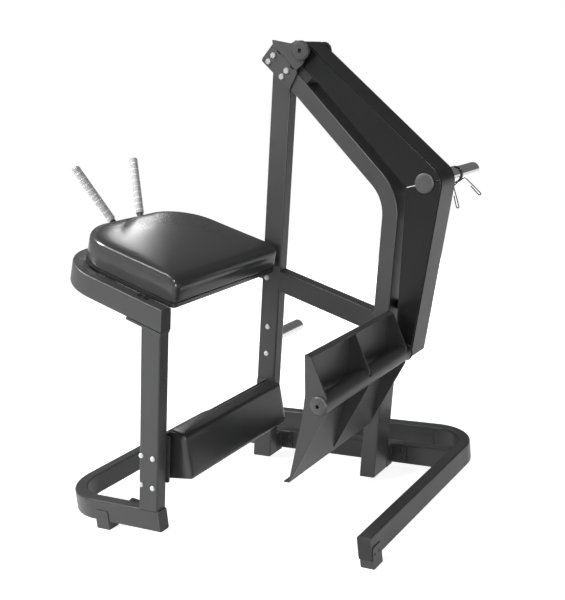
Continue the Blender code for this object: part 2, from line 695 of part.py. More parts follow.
def storage_horn():
    """Plate storage horn with its plate on the back of the upright."""
    x, z = 0.5150, 0.5070
    back = UPRIGHT_FAR + GAP
    lean = math.tan(LEAN)
    outline = fillet([(x - 0.034 - 0.068 * lean, z - 0.068), (x + 0.034 - 0.068 * lean, z - 0.068),
                      (x + 0.034 + 0.068 * lean, z + 0.068), (x - 0.034 + 0.068 * lean, z + 0.068)], 0.004, 3)
    horn = prism("storage_horn", outline, back, back + 0.006, CHROME)
    bar = turned("bar", (x, back + 0.0055, z), (0, 1, 0),
                 [(0, 0), (0, HORN_R), (STORAGE_LONG - 0.0030, HORN_R), (STORAGE_LONG, HORN_R - 0.0030),
                  (STORAGE_LONG, 0)], CHROME, 32)
    join(horn, bar)
    for name, sx, sz in UPRIGHT_SCREWS[1:]:
        cut(horn, cylinder("tool", (sx, back - 0.01, sz), (0, 1, 0), 0.03, 0.0044))
    bore = cylinder("tool", (x, back - 0.01, z), (0, 1, 0), STORAGE_LONG, HORN_R - 0.004, CHROME, 32)
    cut(horn, bore)
    shade_round(horn)


def bent_column():
    """Column, bend and diagonal in one tube, with bolt holes at its top end."""
    profile = tube_profile(COLUMN_WIDE, COLUMN_DEEP, 0.006, 0.003)
    corners = [COLUMN_TOP, COLUMN_CORNER, (COLUMN_FOOT_X, BASE_LOW)]
    tube_body = tube("bent_column", bent_path(corners, COLUMN_BEND, 7), profile, FRAME_PAINT, SIDE, MID_Y,
                     (None, PLAN.plane(BASE_LOW)))
    for d, n in GUSSET_BOLTS:
        cut(tube_body, cylinder("tool", DIAGONAL.at(d, n, COLUMN_NEAR - 0.04), (0, 1, 0),
                                COLUMN_DEEP + 0.08, 0.0053))
    return tube_body


DIAGONAL = diagonal_frame()
RELIEF_SLOTS = (0.0364, 0.1087)
GUSSET_BOLTS = tuple((d, n) for n in (-0.0200, -0.0475) for d in (0.0275, 0.1006))


def upper_beam():
    """Sloping beam between the upright and the column, with its end flange."""
    across_lean = Vector((math.cos(LEAN), 0, -math.sin(LEAN)))
    start = Vector((lean_x(0.5) + UPRIGHT_WIDE / 2 / math.cos(LEAN), 0, 0.5)) + across_lean * GAP
    slope = math.atan((COLUMN_CORNER[0] - COLUMN_FOOT_X) / (COLUMN_CORNER[1] - BASE_LOW))
    column_way = Vector((math.cos(slope), 0, -math.sin(slope)))
    face = Vector((column_x(0.6) - COLUMN_WIDE / 2 / math.cos(slope), 0, 0.6)) - column_way * GAP
    thick = 0.0070
    profile = tube_profile(SLOPED_BEAM_HIGH, UPRIGHT_DEEP, 0.006, 0.003)
    mid_y = (UPRIGHT_NEAR + UPRIGHT_FAR) / 2
    middle = SLOPED.at(0.45, 0, -SLOPED_BEAM_HIGH / 2)
    way = Vector((math.cos(SLOPE), -math.sin(SLOPE)))
    path = [(Vector((middle.x, middle.z)), way), (Vector((middle.x, middle.z)) + way * 0.05, way)]
    tube("upper_beam", path, profile, FRAME_PAINT, SIDE, mid_y,
         ((start, across_lean), (face - column_way * (thick + GAP), column_way)))
    up = Vector((math.sin(slope), 0, math.cos(slope)))
    spot = meet(SLOPED.at(0, 0, -SLOPED_BEAM_HIGH / 2), SLOPED.a, (face, column_way))
    plate = Frame((spot.x, 0, spot.z), (0, 1, 0), up, column_way)
    outline = fillet([(COLUMN_NEAR + 0.004, -0.052), (COLUMN_FAR - 0.002, -0.052),
                      (COLUMN_FAR - 0.002, 0.052), (COLUMN_NEAR + 0.004, 0.052)], 0.005, 3)
    prism("beam_flange", outline, -thick, 0, FRAME_PAINT, plate, True)


def gusset_outline():
    """Side view of a gusset plate: straight on the tube, rounded round the pivot."""
    arc = [(PIVOT[0] + 0.0305 * math.cos(math.radians(a)), PIVOT[1] + 0.0305 * math.sin(math.radians(a)))
           for a in range(80, -71, -15)]
    tube_end = [beside(COLUMN_TOP, x, z) for x, z in ((-0.0250, -0.0288), (-0.0228, -0.0206),
                                                      (0.0227, 0.0205), (0.0381, 0.0347))]
    crook = [beside(PIVOT, x, z) for x, z in ((0.0031, -0.0420), (-0.0317, -0.0622), (-0.0381, -0.0735),
                                              (-0.0721, -0.1220))]
    return [*tube_end, beside(PIVOT, -0.0415, 0.0292), *arc, *crook]


def gusset(name, side):
    """Joggled side plate: flat on the tube, then stepped outwards to clear the arm."""
    inner = MID_Y + side * (COLUMN_DEEP / 2 + GAP)
    bm = bmesh.new()
    face = bm.faces.new([bm.verts.new((x, 0, z)) for x, z in gusset_outline()])
    for n in (0.0045, 0.0200):
        bmesh.ops.bisect_plane(bm, geom=bm.verts[:] + bm.edges[:] + bm.faces[:], dist=1e-7,
                               plane_co=DIAGONAL.at(0, n), plane_no=DIAGONAL.b)
    bmesh.ops.triangulate(bm, faces=bm.faces[:])
    shell = bmesh.ops.extrude_face_region(bm, geom=bm.faces[:])
    outer = {v for v in shell["geom"] if isinstance(v, bmesh.types.BMVert)}
    for vert in bm.verts:
        n = (vert.co - DIAGONAL.origin).dot(DIAGONAL.b)
        step = min(max((n - 0.0045) / (0.0200 - 0.0045), 0.0), 1.0) * JOGGLE
        vert.co.y = inner + side * (step + (PLATE if vert in outer else 0.0))
    plate = finish(name, bm, FRAME_PAINT)
    for d, n in GUSSET_BOLTS:
        cut(plate, cylinder("tool", DIAGONAL.at(d, n, inner - 0.03), (0, 1, 0), 0.06, 0.0053))
    for d in RELIEF_SLOTS:
        cut(plate, box("tool", d - 0.0080, d + 0.0080, -0.0010, 0.0035, inner - 0.03, inner + 0.03,
                       FRAME_PAINT, DIAGONAL))
    cut(plate, cylinder("tool", (PIVOT[0], inner - 0.05, PIVOT[1]), (0, 1, 0), 0.10, SHAFT_R + GAP,
                        steps=32))
    return plate


def pivot_stack():
    """Gusset plates, their bolts, bosses, caps, shaft and the closing block."""
    for name, side in (("gusset_near", -1), ("gusset_far", 1)):
        gusset(name, side)
    plate_out = COLUMN_DEEP / 2 + GAP + PLATE
    for i, (d, n) in enumerate(GUSSET_BOLTS):
        grip_length = 2 * (plate_out + GAP)
        start = DIAGONAL.at(d, n, MID_Y - plate_out - GAP - 0.0062)
        bolt("gusset_bolt_%d" % (i + 1), start, (0, 1, 0),
             [(0.0062, 0.0084, True), (grip_length, 0.0050, False), (0.0080, 0.0084, True),
              (0.0030, 0.0048, False)], CHROME)
    boss_in = plate_out + JOGGLE + GAP
    boss_out, long = boss_in + BOSS_LONG, BOSS_LONG
    for name, side, radius in (("near", -1, BOSS_R), ("far", 1, 0.0240)):
        start = (PIVOT[0], MID_Y + side * boss_in, PIVOT[1])
        seat = radius - 0.0037
        turned("boss_" + name, start, (0, side, 0),
               [(0, SHAFT_R + GAP), (0, radius), (long - 0.0020, radius), (long, radius - 0.0020),
                (long, seat), (long - 0.0040, seat), (long - 0.0040, SHAFT_R + GAP)], FRAME_PAINT, 24)
        cap = seat - GAP
        turned("pivot_cap_" + name, (PIVOT[0], MID_Y + side * (boss_out - 0.0040 + GAP), PIVOT[1]),
               (0, side, 0), [(0, 0), (0, cap), (0.0035, cap), (0.0046, cap - 0.0014), (0.0046, 0.0068),
                              (0.0014, 0.0064), (0.0014, 0)], FRAME_PAINT, 24)
    reach = boss_out - 0.0040 - GAP
    turned("pivot_shaft", (PIVOT[0], MID_Y - reach, PIVOT[1]), (0, 1, 0),
           [(0, 0), (0, SHAFT_R), (2 * reach, SHAFT_R), (2 * reach, 0)], DARK_STEEL, 32)
    box("closing_block", 0.1300, 0.1840, GAP, 0.0340, COLUMN_NEAR + 0.003, COLUMN_FAR - 0.003,
        FRAME_PAINT, DIAGONAL)


def beside(point, x, z):
    """Point of the side view set off from another."""
    return point[0] + x, point[1] + z


def arm_outline():
    """Side view of the boomerang arm, counter-clockwise from the inner corner."""
    top = Vector((0.7020, -0.7121))
    low = Vector((0.6334, -0.7738))
    start_low = Vector(PIVOT) + Vector((low.y, -low.x)) * 0.0347
    start_top = Vector(PIVOT) + Vector((-top.y, top.x)) * 0.0217
    a0 = math.atan2(start_top.y - PIVOT[1], start_top.x - PIVOT[0])
    a1 = math.atan2(start_low.y - PIVOT[1], start_low.x - PIVOT[0]) + 2 * math.pi
    nose = []
    for k in range(0, 9):
        t = k / 8
        a, r = a0 + (a1 - a0) * t, 0.0217 + (0.0347 - 0.0217) * min(1.0, t * 1.8)
        nose.append((PIVOT[0] + r * math.cos(a), PIVOT[1] + r * math.sin(a)))
    left_low, right_low = beside(ROD, -0.0345, -0.0059), beside(ROD, 0.0188, -0.0184)
    elbow = [beside(ELBOW, x, z) for x, z in ((0.0505, -0.0288), (0.0555, -0.0098), (0.0558, 0.0052),
                                              (0.0520, 0.0212), (0.0402, 0.0389))]
    return [left_low, right_low, *elbow, *nose, beside(ELBOW, -0.06414, -0.0113)]


def swing_arm():
    """Hollow welded arm with its hub, open only at the lower end."""
    arm = prism("swing_arm", arm_outline(), ARM_NEAR, ARM_FAR, ARM_PAINT)
    hollow = inset_corners(ARM_CORE, ARM_WALL)
    cut(arm, prism("tool", hollow, ARM_NEAR + ARM_WALL, ARM_FAR - ARM_WALL, ARM_PAINT))
    hub_near = MID_Y - HUB_REACH
    hub = turned("hub", (PIVOT[0], hub_near, PIVOT[1]), (0, 1, 0),
                 [(0, 0), (0, HUB_R - 0.001), (0.001, HUB_R), (2 * HUB_REACH - 0.001, HUB_R),
                  (2 * HUB_REACH, HUB_R - 0.001), (2 * HUB_REACH, 0)], ARM_PAINT, 32)
    join(arm, hub)
    cut(arm, cylinder("tool", (PIVOT[0], ARM_NEAR - 0.1, PIVOT[1]), (0, 1, 0), ARM_DEEP + 0.2,
                      SHAFT_R + RUN, ARM_PAINT, 32))
    shade_round(arm, 25.0)
    return arm


ARM_CORE = [beside(ROD, -0.0630, -0.1154), beside(ROD, -0.0064, -0.1154), beside(ELBOW, 0.0505, -0.0288),
            beside(ELBOW, 0.0402, 0.0389), beside(PIVOT, 0.0775, -0.0489), beside(PIVOT, 0.0475, -0.1135),
            beside(ELBOW, -0.06414, -0.0113)]
HUB_REACH = ARM_DEEP / 2 + ARM_ROOM - 0.0012


def arm_fittings():
    """Weight horn, elbow cap, foot rod, rod cap and spring collar."""
    flange, bore, deep = HORN_R + 0.0145, HORN_R - 0.0050, HORN_LONG - 0.0180
    turned("weight_horn", (ELBOW[0], ARM_FAR + GAP, ELBOW[1]), (0, 1, 0),
           [(deep, 0), (deep, bore), (0, bore), (0, flange), (0.0080, flange), (0.0100, flange - 0.0020),
            (0.0100, HORN_R), (HORN_LONG - 0.003, HORN_R), (HORN_LONG, HORN_R - 0.003), (HORN_LONG, 0)],
           CHROME, 32)
    dome("elbow_cap", (ELBOW[0], ARM_NEAR - GAP, ELBOW[1]), 0.0335, 0.0090, CAP_GREY, False)
    rod_long = ARM_NEAR - GAP - FOOT_NEAR
    collar = ARM_NEAR - GAP - (FOOT_FAR + 0.001)
    turned("foot_rod", (ROD[0], ARM_NEAR - GAP, ROD[1]), (0, -1, 0),
           [(0, 0), (0, SLEEVE_R), (collar, SLEEVE_R), (collar, ROD_R), (rod_long, ROD_R), (rod_long, 0)],
           ARM_PAINT, 32)
    dome("rod_cap", (ROD[0], FOOT_NEAR - GAP, ROD[1]), 0.0290, 0.0130, CAP_GREY, True)
    spring_collar()


def dome(name, start, radius, high, look, socket):
    """Low domed cap facing the near side, with or without a socket."""
    arc = [(0.0, radius * 0.985), (high * 0.20, radius)]
    for k in range(1, 5):
        a = math.radians(22.5 * k)
        arc.append((high * (0.20 + 0.80 * math.sin(a)), radius * (0.30 + 0.70 * math.cos(a))))
    profile = [(0, 0)] + arc
    if socket:
        profile += [(high, 0.0062), (high - 0.0050, 0.0058), (high - 0.0050, 0)]
    else:
        profile += [(high, 0)]
    turned(name, start, (0, -1, 0), profile, look, 24)


def spring_collar():
    """Wire clip on the weight horn: two coils and two hairpin handles."""
    radius = HORN_R + 0.0004 + CLIP_WIRE
    near, far = COLLAR_Y, COLLAR_Y + 2 * CLIP_PITCH
    points = [Vector((ELBOW[0] + x, near, ELBOW[1] + z)) for x, z in
              ((-0.0057, -0.0730), (0.0007, -0.1136), (0.0028, -0.1165), (0.0086, -0.1158),
               (0.0108, -0.1126), (-0.0048, -0.0448), (-0.0044, -0.0384))]
    turns = 36
    for k in range(turns + 1):
        a = math.radians(-51.3 + 708.2 * k / turns)
        points.append(Vector((ELBOW[0] + radius * math.cos(a), near + (far - near) * k / turns,
                              ELBOW[1] + radius * math.sin(a))))
    points += [Vector((ELBOW[0] + x, far, ELBOW[1] + z)) for x, z in
               ((0.0320, -0.0126), (0.0378, -0.0156), (0.0880, -0.0686), (0.0888, -0.0720),
                (0.0832, -0.0746), (0.0796, -0.0736), (0.0530, -0.0417))]
    return round_bar("spring_collar", points, CLIP_WIRE, 6, DARK_STEEL)


def foot_line():
    """Working side of the foot plate in side view, from the top lip to the toe lip."""
    return [beside(ROD, x, z) for x, z in ((-0.0136, 0.1426), (-0.0337, 0.1521), (-0.0455, 0.0285),
                                           (-0.0612, -0.0397), (-0.1330, -0.2550), (-0.1532, -0.2560))]


def foot_sheet_outline(thick=0.0040):
    """The bent sheet as a closed outline."""
    line = [Vector(p) for p in foot_line()]
    inner = []
    for i, spot in enumerate(line):
        into = (spot - line[i - 1]).normalized() if i else (line[1] - line[0]).normalized()
        away = (line[i + 1] - spot).normalized() if i < len(line) - 1 else into
        n, m = Vector((-into.y, into.x)), Vector((-away.y, away.x))
        inner.append(tuple(spot + (n + m) * (thick / (1 + n.dot(m)))))
    return foot_line() + inner[::-1]


def foot_plate():
    """Foot plate weldment: bent sheet, three ribs and a sleeve on the foot rod."""
    plate = prism("foot_plate", foot_sheet_outline(), FOOT_NEAR + 0.0045, FOOT_FAR, FRAME_PAINT)
    near = [beside(ROD, x, z) for x, z in (
        (-0.0341, 0.1526), (-0.0460, 0.0285), (-0.0617, -0.0397), (-0.1334, -0.2550), (-0.1313, -0.2596),
        (0.0206, -0.0276), (0.0241, 0.0286), (-0.0132, 0.1431))]
    join(plate, prism("rib", near, FOOT_NEAR, FOOT_NEAR + 0.005, FRAME_PAINT))
    inner = [beside(ROD, x, z) for x, z in (
        (-0.0315, 0.1430), (-0.0435, 0.0283), (-0.0592, -0.0403), (-0.1265, -0.2420),
        (-0.1215, -0.2420), (0.0190, -0.0284), (0.0268, 0.0286), (-0.0110, 0.1400))]
    for y in ((FOOT_NEAR + FOOT_FAR) / 2 - 0.0045, FOOT_FAR - 0.0052):
        join(plate, prism("rib", inner, y, y + 0.0050, FRAME_PAINT))
    join(plate, turned("sleeve", (ROD[0], FOOT_NEAR + 0.0005, ROD[1]), (0, 1, 0),
                       [(0, 0), (0, SLEEVE_R), (FOOT_FAR - FOOT_NEAR, SLEEVE_R),
                        (FOOT_FAR - FOOT_NEAR, 0)], FRAME_PAINT, 32))
    triangulate(plate)
    cut(plate, cylinder("tool", (ROD[0], FOOT_NEAR - 0.05, ROD[1]), (0, 1, 0), FOOT_FAR - FOOT_NEAR + 0.1,
                        SLEEVE_BORE, FRAME_PAINT, 32))
    shade_round(plate, 25.0)
    return plate


def bumper():
    """Rubber stop on the column that the arm rests against."""
    slope = math.atan((COLUMN_CORNER[0] - COLUMN_FOOT_X) / (COLUMN_CORNER[1] - BASE_LOW))
    way = Vector((math.cos(slope), 0, -math.sin(slope)))
    z = 0.6600
    face = Vector((column_x(z) + COLUMN_WIDE / 2 / math.cos(slope), 0.7230, z)) + way * GAP
    turned("bumper", face, way, [(0, 0), (0, 0.0170), (0.0310, 0.0170), (0.0345, 0.0145), (0.0345, 0)],
           RUBBER, 24)


def knee_section(y):
    """Side view of the knee pad, counter-clockwise; past its middle the top back corner steps in."""
    back_top = (0.5240, 0.3622) if y > KNEE_STEP[1] - GAP else (0.5030, 0.3665)
    return [(0.4730, 0.1930), (0.5865, 0.2035), (0.5760, 0.3510), back_top, (0.4985, 0.3405)]


def knee_pad():
    """Box-shaped knee pad, its back plate, end plates and button bolts."""
    ends = [(0.0, 0.0070), (0.0018, 0.0032), (0.0055, 0.0009), (0.0120, 0.0)]
    levels = [(KNEE_NEAR + c, inset) for c, inset in ends] + [(y, 0.0) for y in KNEE_STEP]
    levels += [(KNEE_FAR - c, inset) for c, inset in reversed(ends)]
    rings = [rounded_levels(SIDE, knee_section(y), [0.010] * 5, [(y, inset)])[0] for y, inset in levels]
    finish("knee_pad", loft(rings), VINYL, True)
    corners = knee_section(KNEE_NEAR)
    low, high = Vector(corners[0]), Vector(corners[-1])
    up = (high - low).normalized()
    back = Vector((-up.y, up.x))
    back_frame = Frame((low.x, 0, low.y), (up.x, 0, up.y), (0, 1, 0), (back.x, 0, back.y))
    near, far = POST_DEEP + KNEE_PLATE + 2 * GAP, UPRIGHT_NEAR - KNEE_PLATE - 2 * GAP
    box("knee_back_plate", 0.0150, 0.1600, near, far, 0.0020, 0.0070, FRAME_PAINT, back_frame)
    plate = [(0.4250, 0.1900), (0.5060, 0.1900), (0.5350, 0.3550), (0.4540, 0.3550)]
    ends = (("knee_end_near", POST_DEEP + GAP), ("knee_end_far", UPRIGHT_NEAR - KNEE_PLATE - GAP))
    for name, y in ends:
        body = prism(name, fillet(plate, 0.004, 3), y, y + KNEE_PLATE, FRAME_PAINT, SIDE, True)
        if name.endswith("near"):
            for spot, x, z in knee_bolt_spots():
                cut(body, cylinder("tool", (x, y - 0.01, z), (0, 1, 0), 0.03, 0.0043))
    for name, x, z in knee_bolt_spots():
        button_screw(name, (x, -GAP, z), (0, 1, 0), 0.0092, 0.0040, POST_DEEP + KNEE_PLATE + 2 * GAP)


MOVING = {"swing_arm": "arm", "weight_horn": "arm", "elbow_cap": "arm", "foot_rod": "arm",
          "rod_cap": "arm", "foot_plate": "foot", "spring_collar": "collar"}


def set_origins():
    """Puts each moving piece's origin on its joint axis and centres the assembly."""
    axes = {"arm": Vector((PIVOT[0], MID_Y, PIVOT[1])), "foot": Vector((ROD[0], MID_Y, ROD[1])),
            "collar": Vector((ELBOW[0], COLLAR_Y, ELBOW[1]))}
    for item in bpy.context.scene.objects:
        home = axes[MOVING[item.name]] if item.name in MOVING else CENTRE
        item.data.transform(Matrix.Translation(-home))
        item.location = home - CENTRE


def main():
    """Builds the whole assembly."""
    clear_scene()
    base_parts()
    feet()
    left_post()
    pad_frame()
    torso_pad()
    handles()
    upright()
    bent_column()
    upper_beam()
    pivot_stack()
    swing_arm()
    arm_fittings()
    foot_plate()
    bumper()
    knee_pad()
    set_origins()


main()
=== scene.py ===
"""Studio scene of a plate loaded rear kick machine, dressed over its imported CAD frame.

Every length is in metres. X runs the way the foot is kicked, Y runs across the machine to
the weight horn and Z is up. The drawing zero is the outer near-left corner of the base.
"""
import json
import logging
import math
from dataclasses import dataclass, field
from enum import Enum
from typing import Iterable, Optional, Sequence

import bmesh
import bpy
from mathutils import Matrix, Vector
from mathutils.bvhtree import BVHTree

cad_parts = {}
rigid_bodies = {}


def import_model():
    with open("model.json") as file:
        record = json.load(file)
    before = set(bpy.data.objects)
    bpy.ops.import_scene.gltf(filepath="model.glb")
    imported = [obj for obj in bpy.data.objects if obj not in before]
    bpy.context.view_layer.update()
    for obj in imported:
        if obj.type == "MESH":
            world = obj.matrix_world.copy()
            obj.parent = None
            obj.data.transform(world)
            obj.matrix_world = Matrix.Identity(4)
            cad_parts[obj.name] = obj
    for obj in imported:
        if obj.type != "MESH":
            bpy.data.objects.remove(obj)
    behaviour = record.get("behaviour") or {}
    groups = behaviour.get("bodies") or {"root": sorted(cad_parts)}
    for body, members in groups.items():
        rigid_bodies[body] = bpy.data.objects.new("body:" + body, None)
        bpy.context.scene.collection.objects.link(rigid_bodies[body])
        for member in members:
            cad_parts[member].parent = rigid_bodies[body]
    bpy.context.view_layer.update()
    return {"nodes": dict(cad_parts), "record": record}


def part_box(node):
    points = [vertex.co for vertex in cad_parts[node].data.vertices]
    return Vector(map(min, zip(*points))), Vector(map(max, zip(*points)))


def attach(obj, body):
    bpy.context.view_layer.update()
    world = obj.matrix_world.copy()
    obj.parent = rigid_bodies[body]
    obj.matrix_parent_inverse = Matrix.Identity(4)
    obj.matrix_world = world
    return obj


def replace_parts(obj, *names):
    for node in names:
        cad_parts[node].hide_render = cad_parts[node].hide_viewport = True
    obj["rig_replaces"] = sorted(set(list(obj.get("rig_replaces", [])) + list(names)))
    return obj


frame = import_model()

LOG = logging.getLogger("rear_kick_machine")

Mesh, Vert, Edge, Face = bmesh.types.BMesh, bmesh.types.BMVert, bmesh.types.BMEdge, bmesh.types.BMFace
Tree, Plug, Piece = bpy.types.NodeTree, bpy.types.NodeSocket, bpy.types.Object
Pair = tuple[float, float]
Triple = tuple[float, float, float]

DRAWING_ZERO = Vector((0.6586, 0.5344, 0.0))
UP, FARWARD, NEARWARD = Vector((0, 0, 1)), Vector((0, 1, 0)), Vector((0, -1, 0))

# Clearance between neighbours that touch
GAP = 0.0003

# Slope of the torso pad and lean of the post and the upright
SLOPE = math.radians(20.25)
SLOPE_REACH = 0.938
LEAN = math.radians(10.08)

# Sizes that several assemblies share, in the drawing: side views are (x, z)
BASE_LOW, BASE_HIGH = 0.0285, 0.1030
BEAM_NEAR = 0.8000
UPRIGHT_NEAR, UPRIGHT_FAR = 0.698, 0.748
UPRIGHT_MIDDLE = (0.5144, 0.5)
COLUMN_CORNER, COLUMN_FOOT = (1.1026, 1.0455), 0.9241
PIVOT, ELBOW, ROD = (0.8225, 1.5450), (1.2270, 1.0848), (1.1130, 0.5154)
FOOT_NEAR, FOOT_FAR = 0.050, 0.603
HORN_RADIUS = 0.0255
KNEE_FOOT, KNEE_TOP = (0.473, 0.193), (0.503, 0.3665)


class Body(str, Enum):
    """The moving bodies of the machine."""

    FRAME = "frame"
    ARM = "arm"
    FOOT = "foot"
    COLLAR = "collar"


class Slot(str, Enum):
    """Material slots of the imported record."""

    FRAME = "frame_paint"
    ARM = "arm_paint"
    CHROME = "chrome"
    DARK = "dark_steel"
    RUBBER = "rubber"
    GRIP = "grip_grey"
    VINYL = "vinyl"
    PLASTIC = "plastic"
    BOARD = "board"
    CAP = "cap_grey"


def drawn(x: float, y: float, z: float) -> Vector:
    """Moves a drawing point into the row frame."""
    return Vector((x, y, z)) - DRAWING_ZERO


def sloped(s: float, y: float, h: float) -> Vector:
    """Point of the pad slope: s down the slope, y across, h above the reference plane."""
    reach = SLOPE_REACH + h
    return drawn(math.cos(SLOPE) * s + math.sin(SLOPE) * reach, y,
                 -math.sin(SLOPE) * s + math.cos(SLOPE) * reach)


def tilted(angle: float) -> Vector:
    """The up direction, tilted towards +X."""
    return Vector((math.sin(angle), 0, math.cos(angle)))


def dipped(angle: float) -> Vector:
    """The +X direction, tilted downwards."""
    return Vector((math.cos(angle), 0, -math.sin(angle)))


def column_slope() -> float:
    """Angle between the column's lower run and upright."""
    return math.atan((COLUMN_CORNER[0] - COLUMN_FOOT) / (COLUMN_CORNER[1] - BASE_LOW))


def upright_x(z: float) -> float:
    """Middle of the upright at a height."""
    return UPRIGHT_MIDDLE[0] + math.tan(LEAN) * (z - UPRIGHT_MIDDLE[1])


# ---------------------------------------------------------------- shader groups


@dataclass(frozen=True)
class Socket:
    """One input or output of a shader group."""

    name: str
    kind: str = "NodeSocketFloat"
    value: Optional[float] = None


def shader_group(name: str, inputs: Sequence[Socket], outputs: Sequence[Socket]) -> Tree:
    """Makes an empty shader group with its sockets.

    Args:
        name: Name of the group.
        inputs: Input sockets, with their default values.
        outputs: Output sockets.

    Returns:
        The node tree, holding its input and output nodes.
    """
    tree = bpy.data.node_groups.new(name, "ShaderNodeTree")
    for way, sockets in (("INPUT", inputs), ("OUTPUT", outputs)):
        for socket in sockets:
            made = tree.interface.new_socket(socket.name, in_out=way, socket_type=socket.kind)
            if socket.value is not None:
                made.default_value = socket.value
    tree.nodes.new("NodeGroupInput").name = "in"
    tree.nodes.new("NodeGroupOutput").name = "out"
    return tree


def wire(tree: Tree, source: object, target: Plug) -> None:
    """Links a socket to the target, or writes a plain value into it."""
    if isinstance(source, Plug):
        tree.links.new(source, target)
    else:
        target.default_value = source


def math_node(tree: Tree, kind: str, *values: object, clamp: bool = False) -> Plug:
    """Adds one Math node.

    Args:
        tree: Tree that takes the node.
        kind: Operation of the node.
        values: Sockets or plain numbers for its inputs.
        clamp: Whether the result stays from 0 to 1.

    Returns:
        The node's output.
    """
    node = tree.nodes.new("ShaderNodeMath")
    node.operation, node.use_clamp = kind, clamp
    for socket, value in zip(node.inputs, values):
        wire(tree, value, socket)
    return node.outputs[0]


def noise(tree: Tree, vector: Plug, scale: object, detail: float = 3.0,
          rough: float = 0.55) -> Plug:
    """Adds a noise and returns its value."""
    node = tree.nodes.new("ShaderNodeTexNoise")
    wire(tree, vector, node.inputs["Vector"])
    for name, value in (("Scale", scale), ("Detail", detail), ("Roughness", rough)):
        wire(tree, value, node.inputs[name])
    return node.outputs[0]


def ramp(tree: Tree, value: Plug, low: float, high: float,
         to_low: float = 0.0, to_high: float = 1.0) -> Plug:
    """Maps a value's range to another, clamped."""
    node = tree.nodes.new("ShaderNodeMapRange")
    for name, item in (("Value", value), ("From Min", low), ("From Max", high), ("To Min", to_low),
                       ("To Max", to_high)):
        wire(tree, item, node.inputs[name])
    return node.outputs[0]


def grain_group() -> Tree:
    """Fine orange peel of a sprayed or moulded surface: a height and a slow patchiness."""
    tree = shader_group("fine_grain", (Socket("Vector", "NodeSocketVector"), Socket("Scale", value=900.0),
                                       Socket("Patch Scale", value=6.0)),
                        (Socket("Height"), Socket("Patch")))
    source, out = tree.nodes["in"].outputs, tree.nodes["out"].inputs
    fine = noise(tree, source["Vector"], source["Scale"], 2.0)
    wire(tree, fine, out["Height"])
    wire(tree, ramp(tree, noise(tree, source["Vector"], source["Patch Scale"], 4.0), 0.30, 0.70), out["Patch"])
    return tree


def worn_and_lit_rim_group() -> Tree:
    """Wear and a painted highlight on rounded edges, from the rim mark that the bevels leave on their faces."""
    tree = shader_group("rim_wear_and_painted_highlight", (Socket("Vector", "NodeSocketVector"), Socket("Scale", value=60.0),
                                     Socket("Amount", value=0.5)), (Socket("Mask"),))
    source, out = tree.nodes["in"].outputs, tree.nodes["out"].inputs
    mark = tree.nodes.new("ShaderNodeAttribute")
    mark.attribute_name = "rim"
    broken = ramp(tree, noise(tree, source["Vector"], source["Scale"], 5.0, 0.65), 0.35, 0.65, 0.45, 1.0)
    worn_and_lit_mask = math_node(tree, "MULTIPLY", mark.outputs["Fac"], broken)
    wire(tree, math_node(tree, "MULTIPLY", worn_and_lit_mask, source["Amount"], clamp=True), out["Mask"])
    return tree


def leather_group() -> Tree:
    """Pebbled grain of upholstery vinyl: rounded cells with creases between them."""
    tree = shader_group("vinyl_pebble", (Socket("Vector", "NodeSocketVector"), Socket("Scale", value=420.0)),
                        (Socket("Height"),))
    source, out = tree.nodes["in"].outputs, tree.nodes["out"].inputs
    cell = tree.nodes.new("ShaderNodeTexVoronoi")
    cell.feature = "SMOOTH_F1"
    wire(tree, source["Vector"], cell.inputs["Vector"])
    wire(tree, source["Scale"], cell.inputs["Scale"])
    cell.inputs["Smoothness"].default_value = 0.6
    crease = ramp(tree, cell.outputs["Distance"], 0.25, 0.75)
    wire(tree, math_node(tree, "SUBTRACT", 1.0, crease), out["Height"])
    return tree


GROUPS = {"grain": grain_group(), "rim": worn_and_lit_rim_group(), "pebble": leather_group()}


# ---------------------------------------------------------------- finishes

# Refraction of the thick clear layer on edges, and the share of fine grain left under a vinyl grain
EDGE_COAT_IOR = 2.1
GRAIN_UNDER_PEBBLE = 0.35


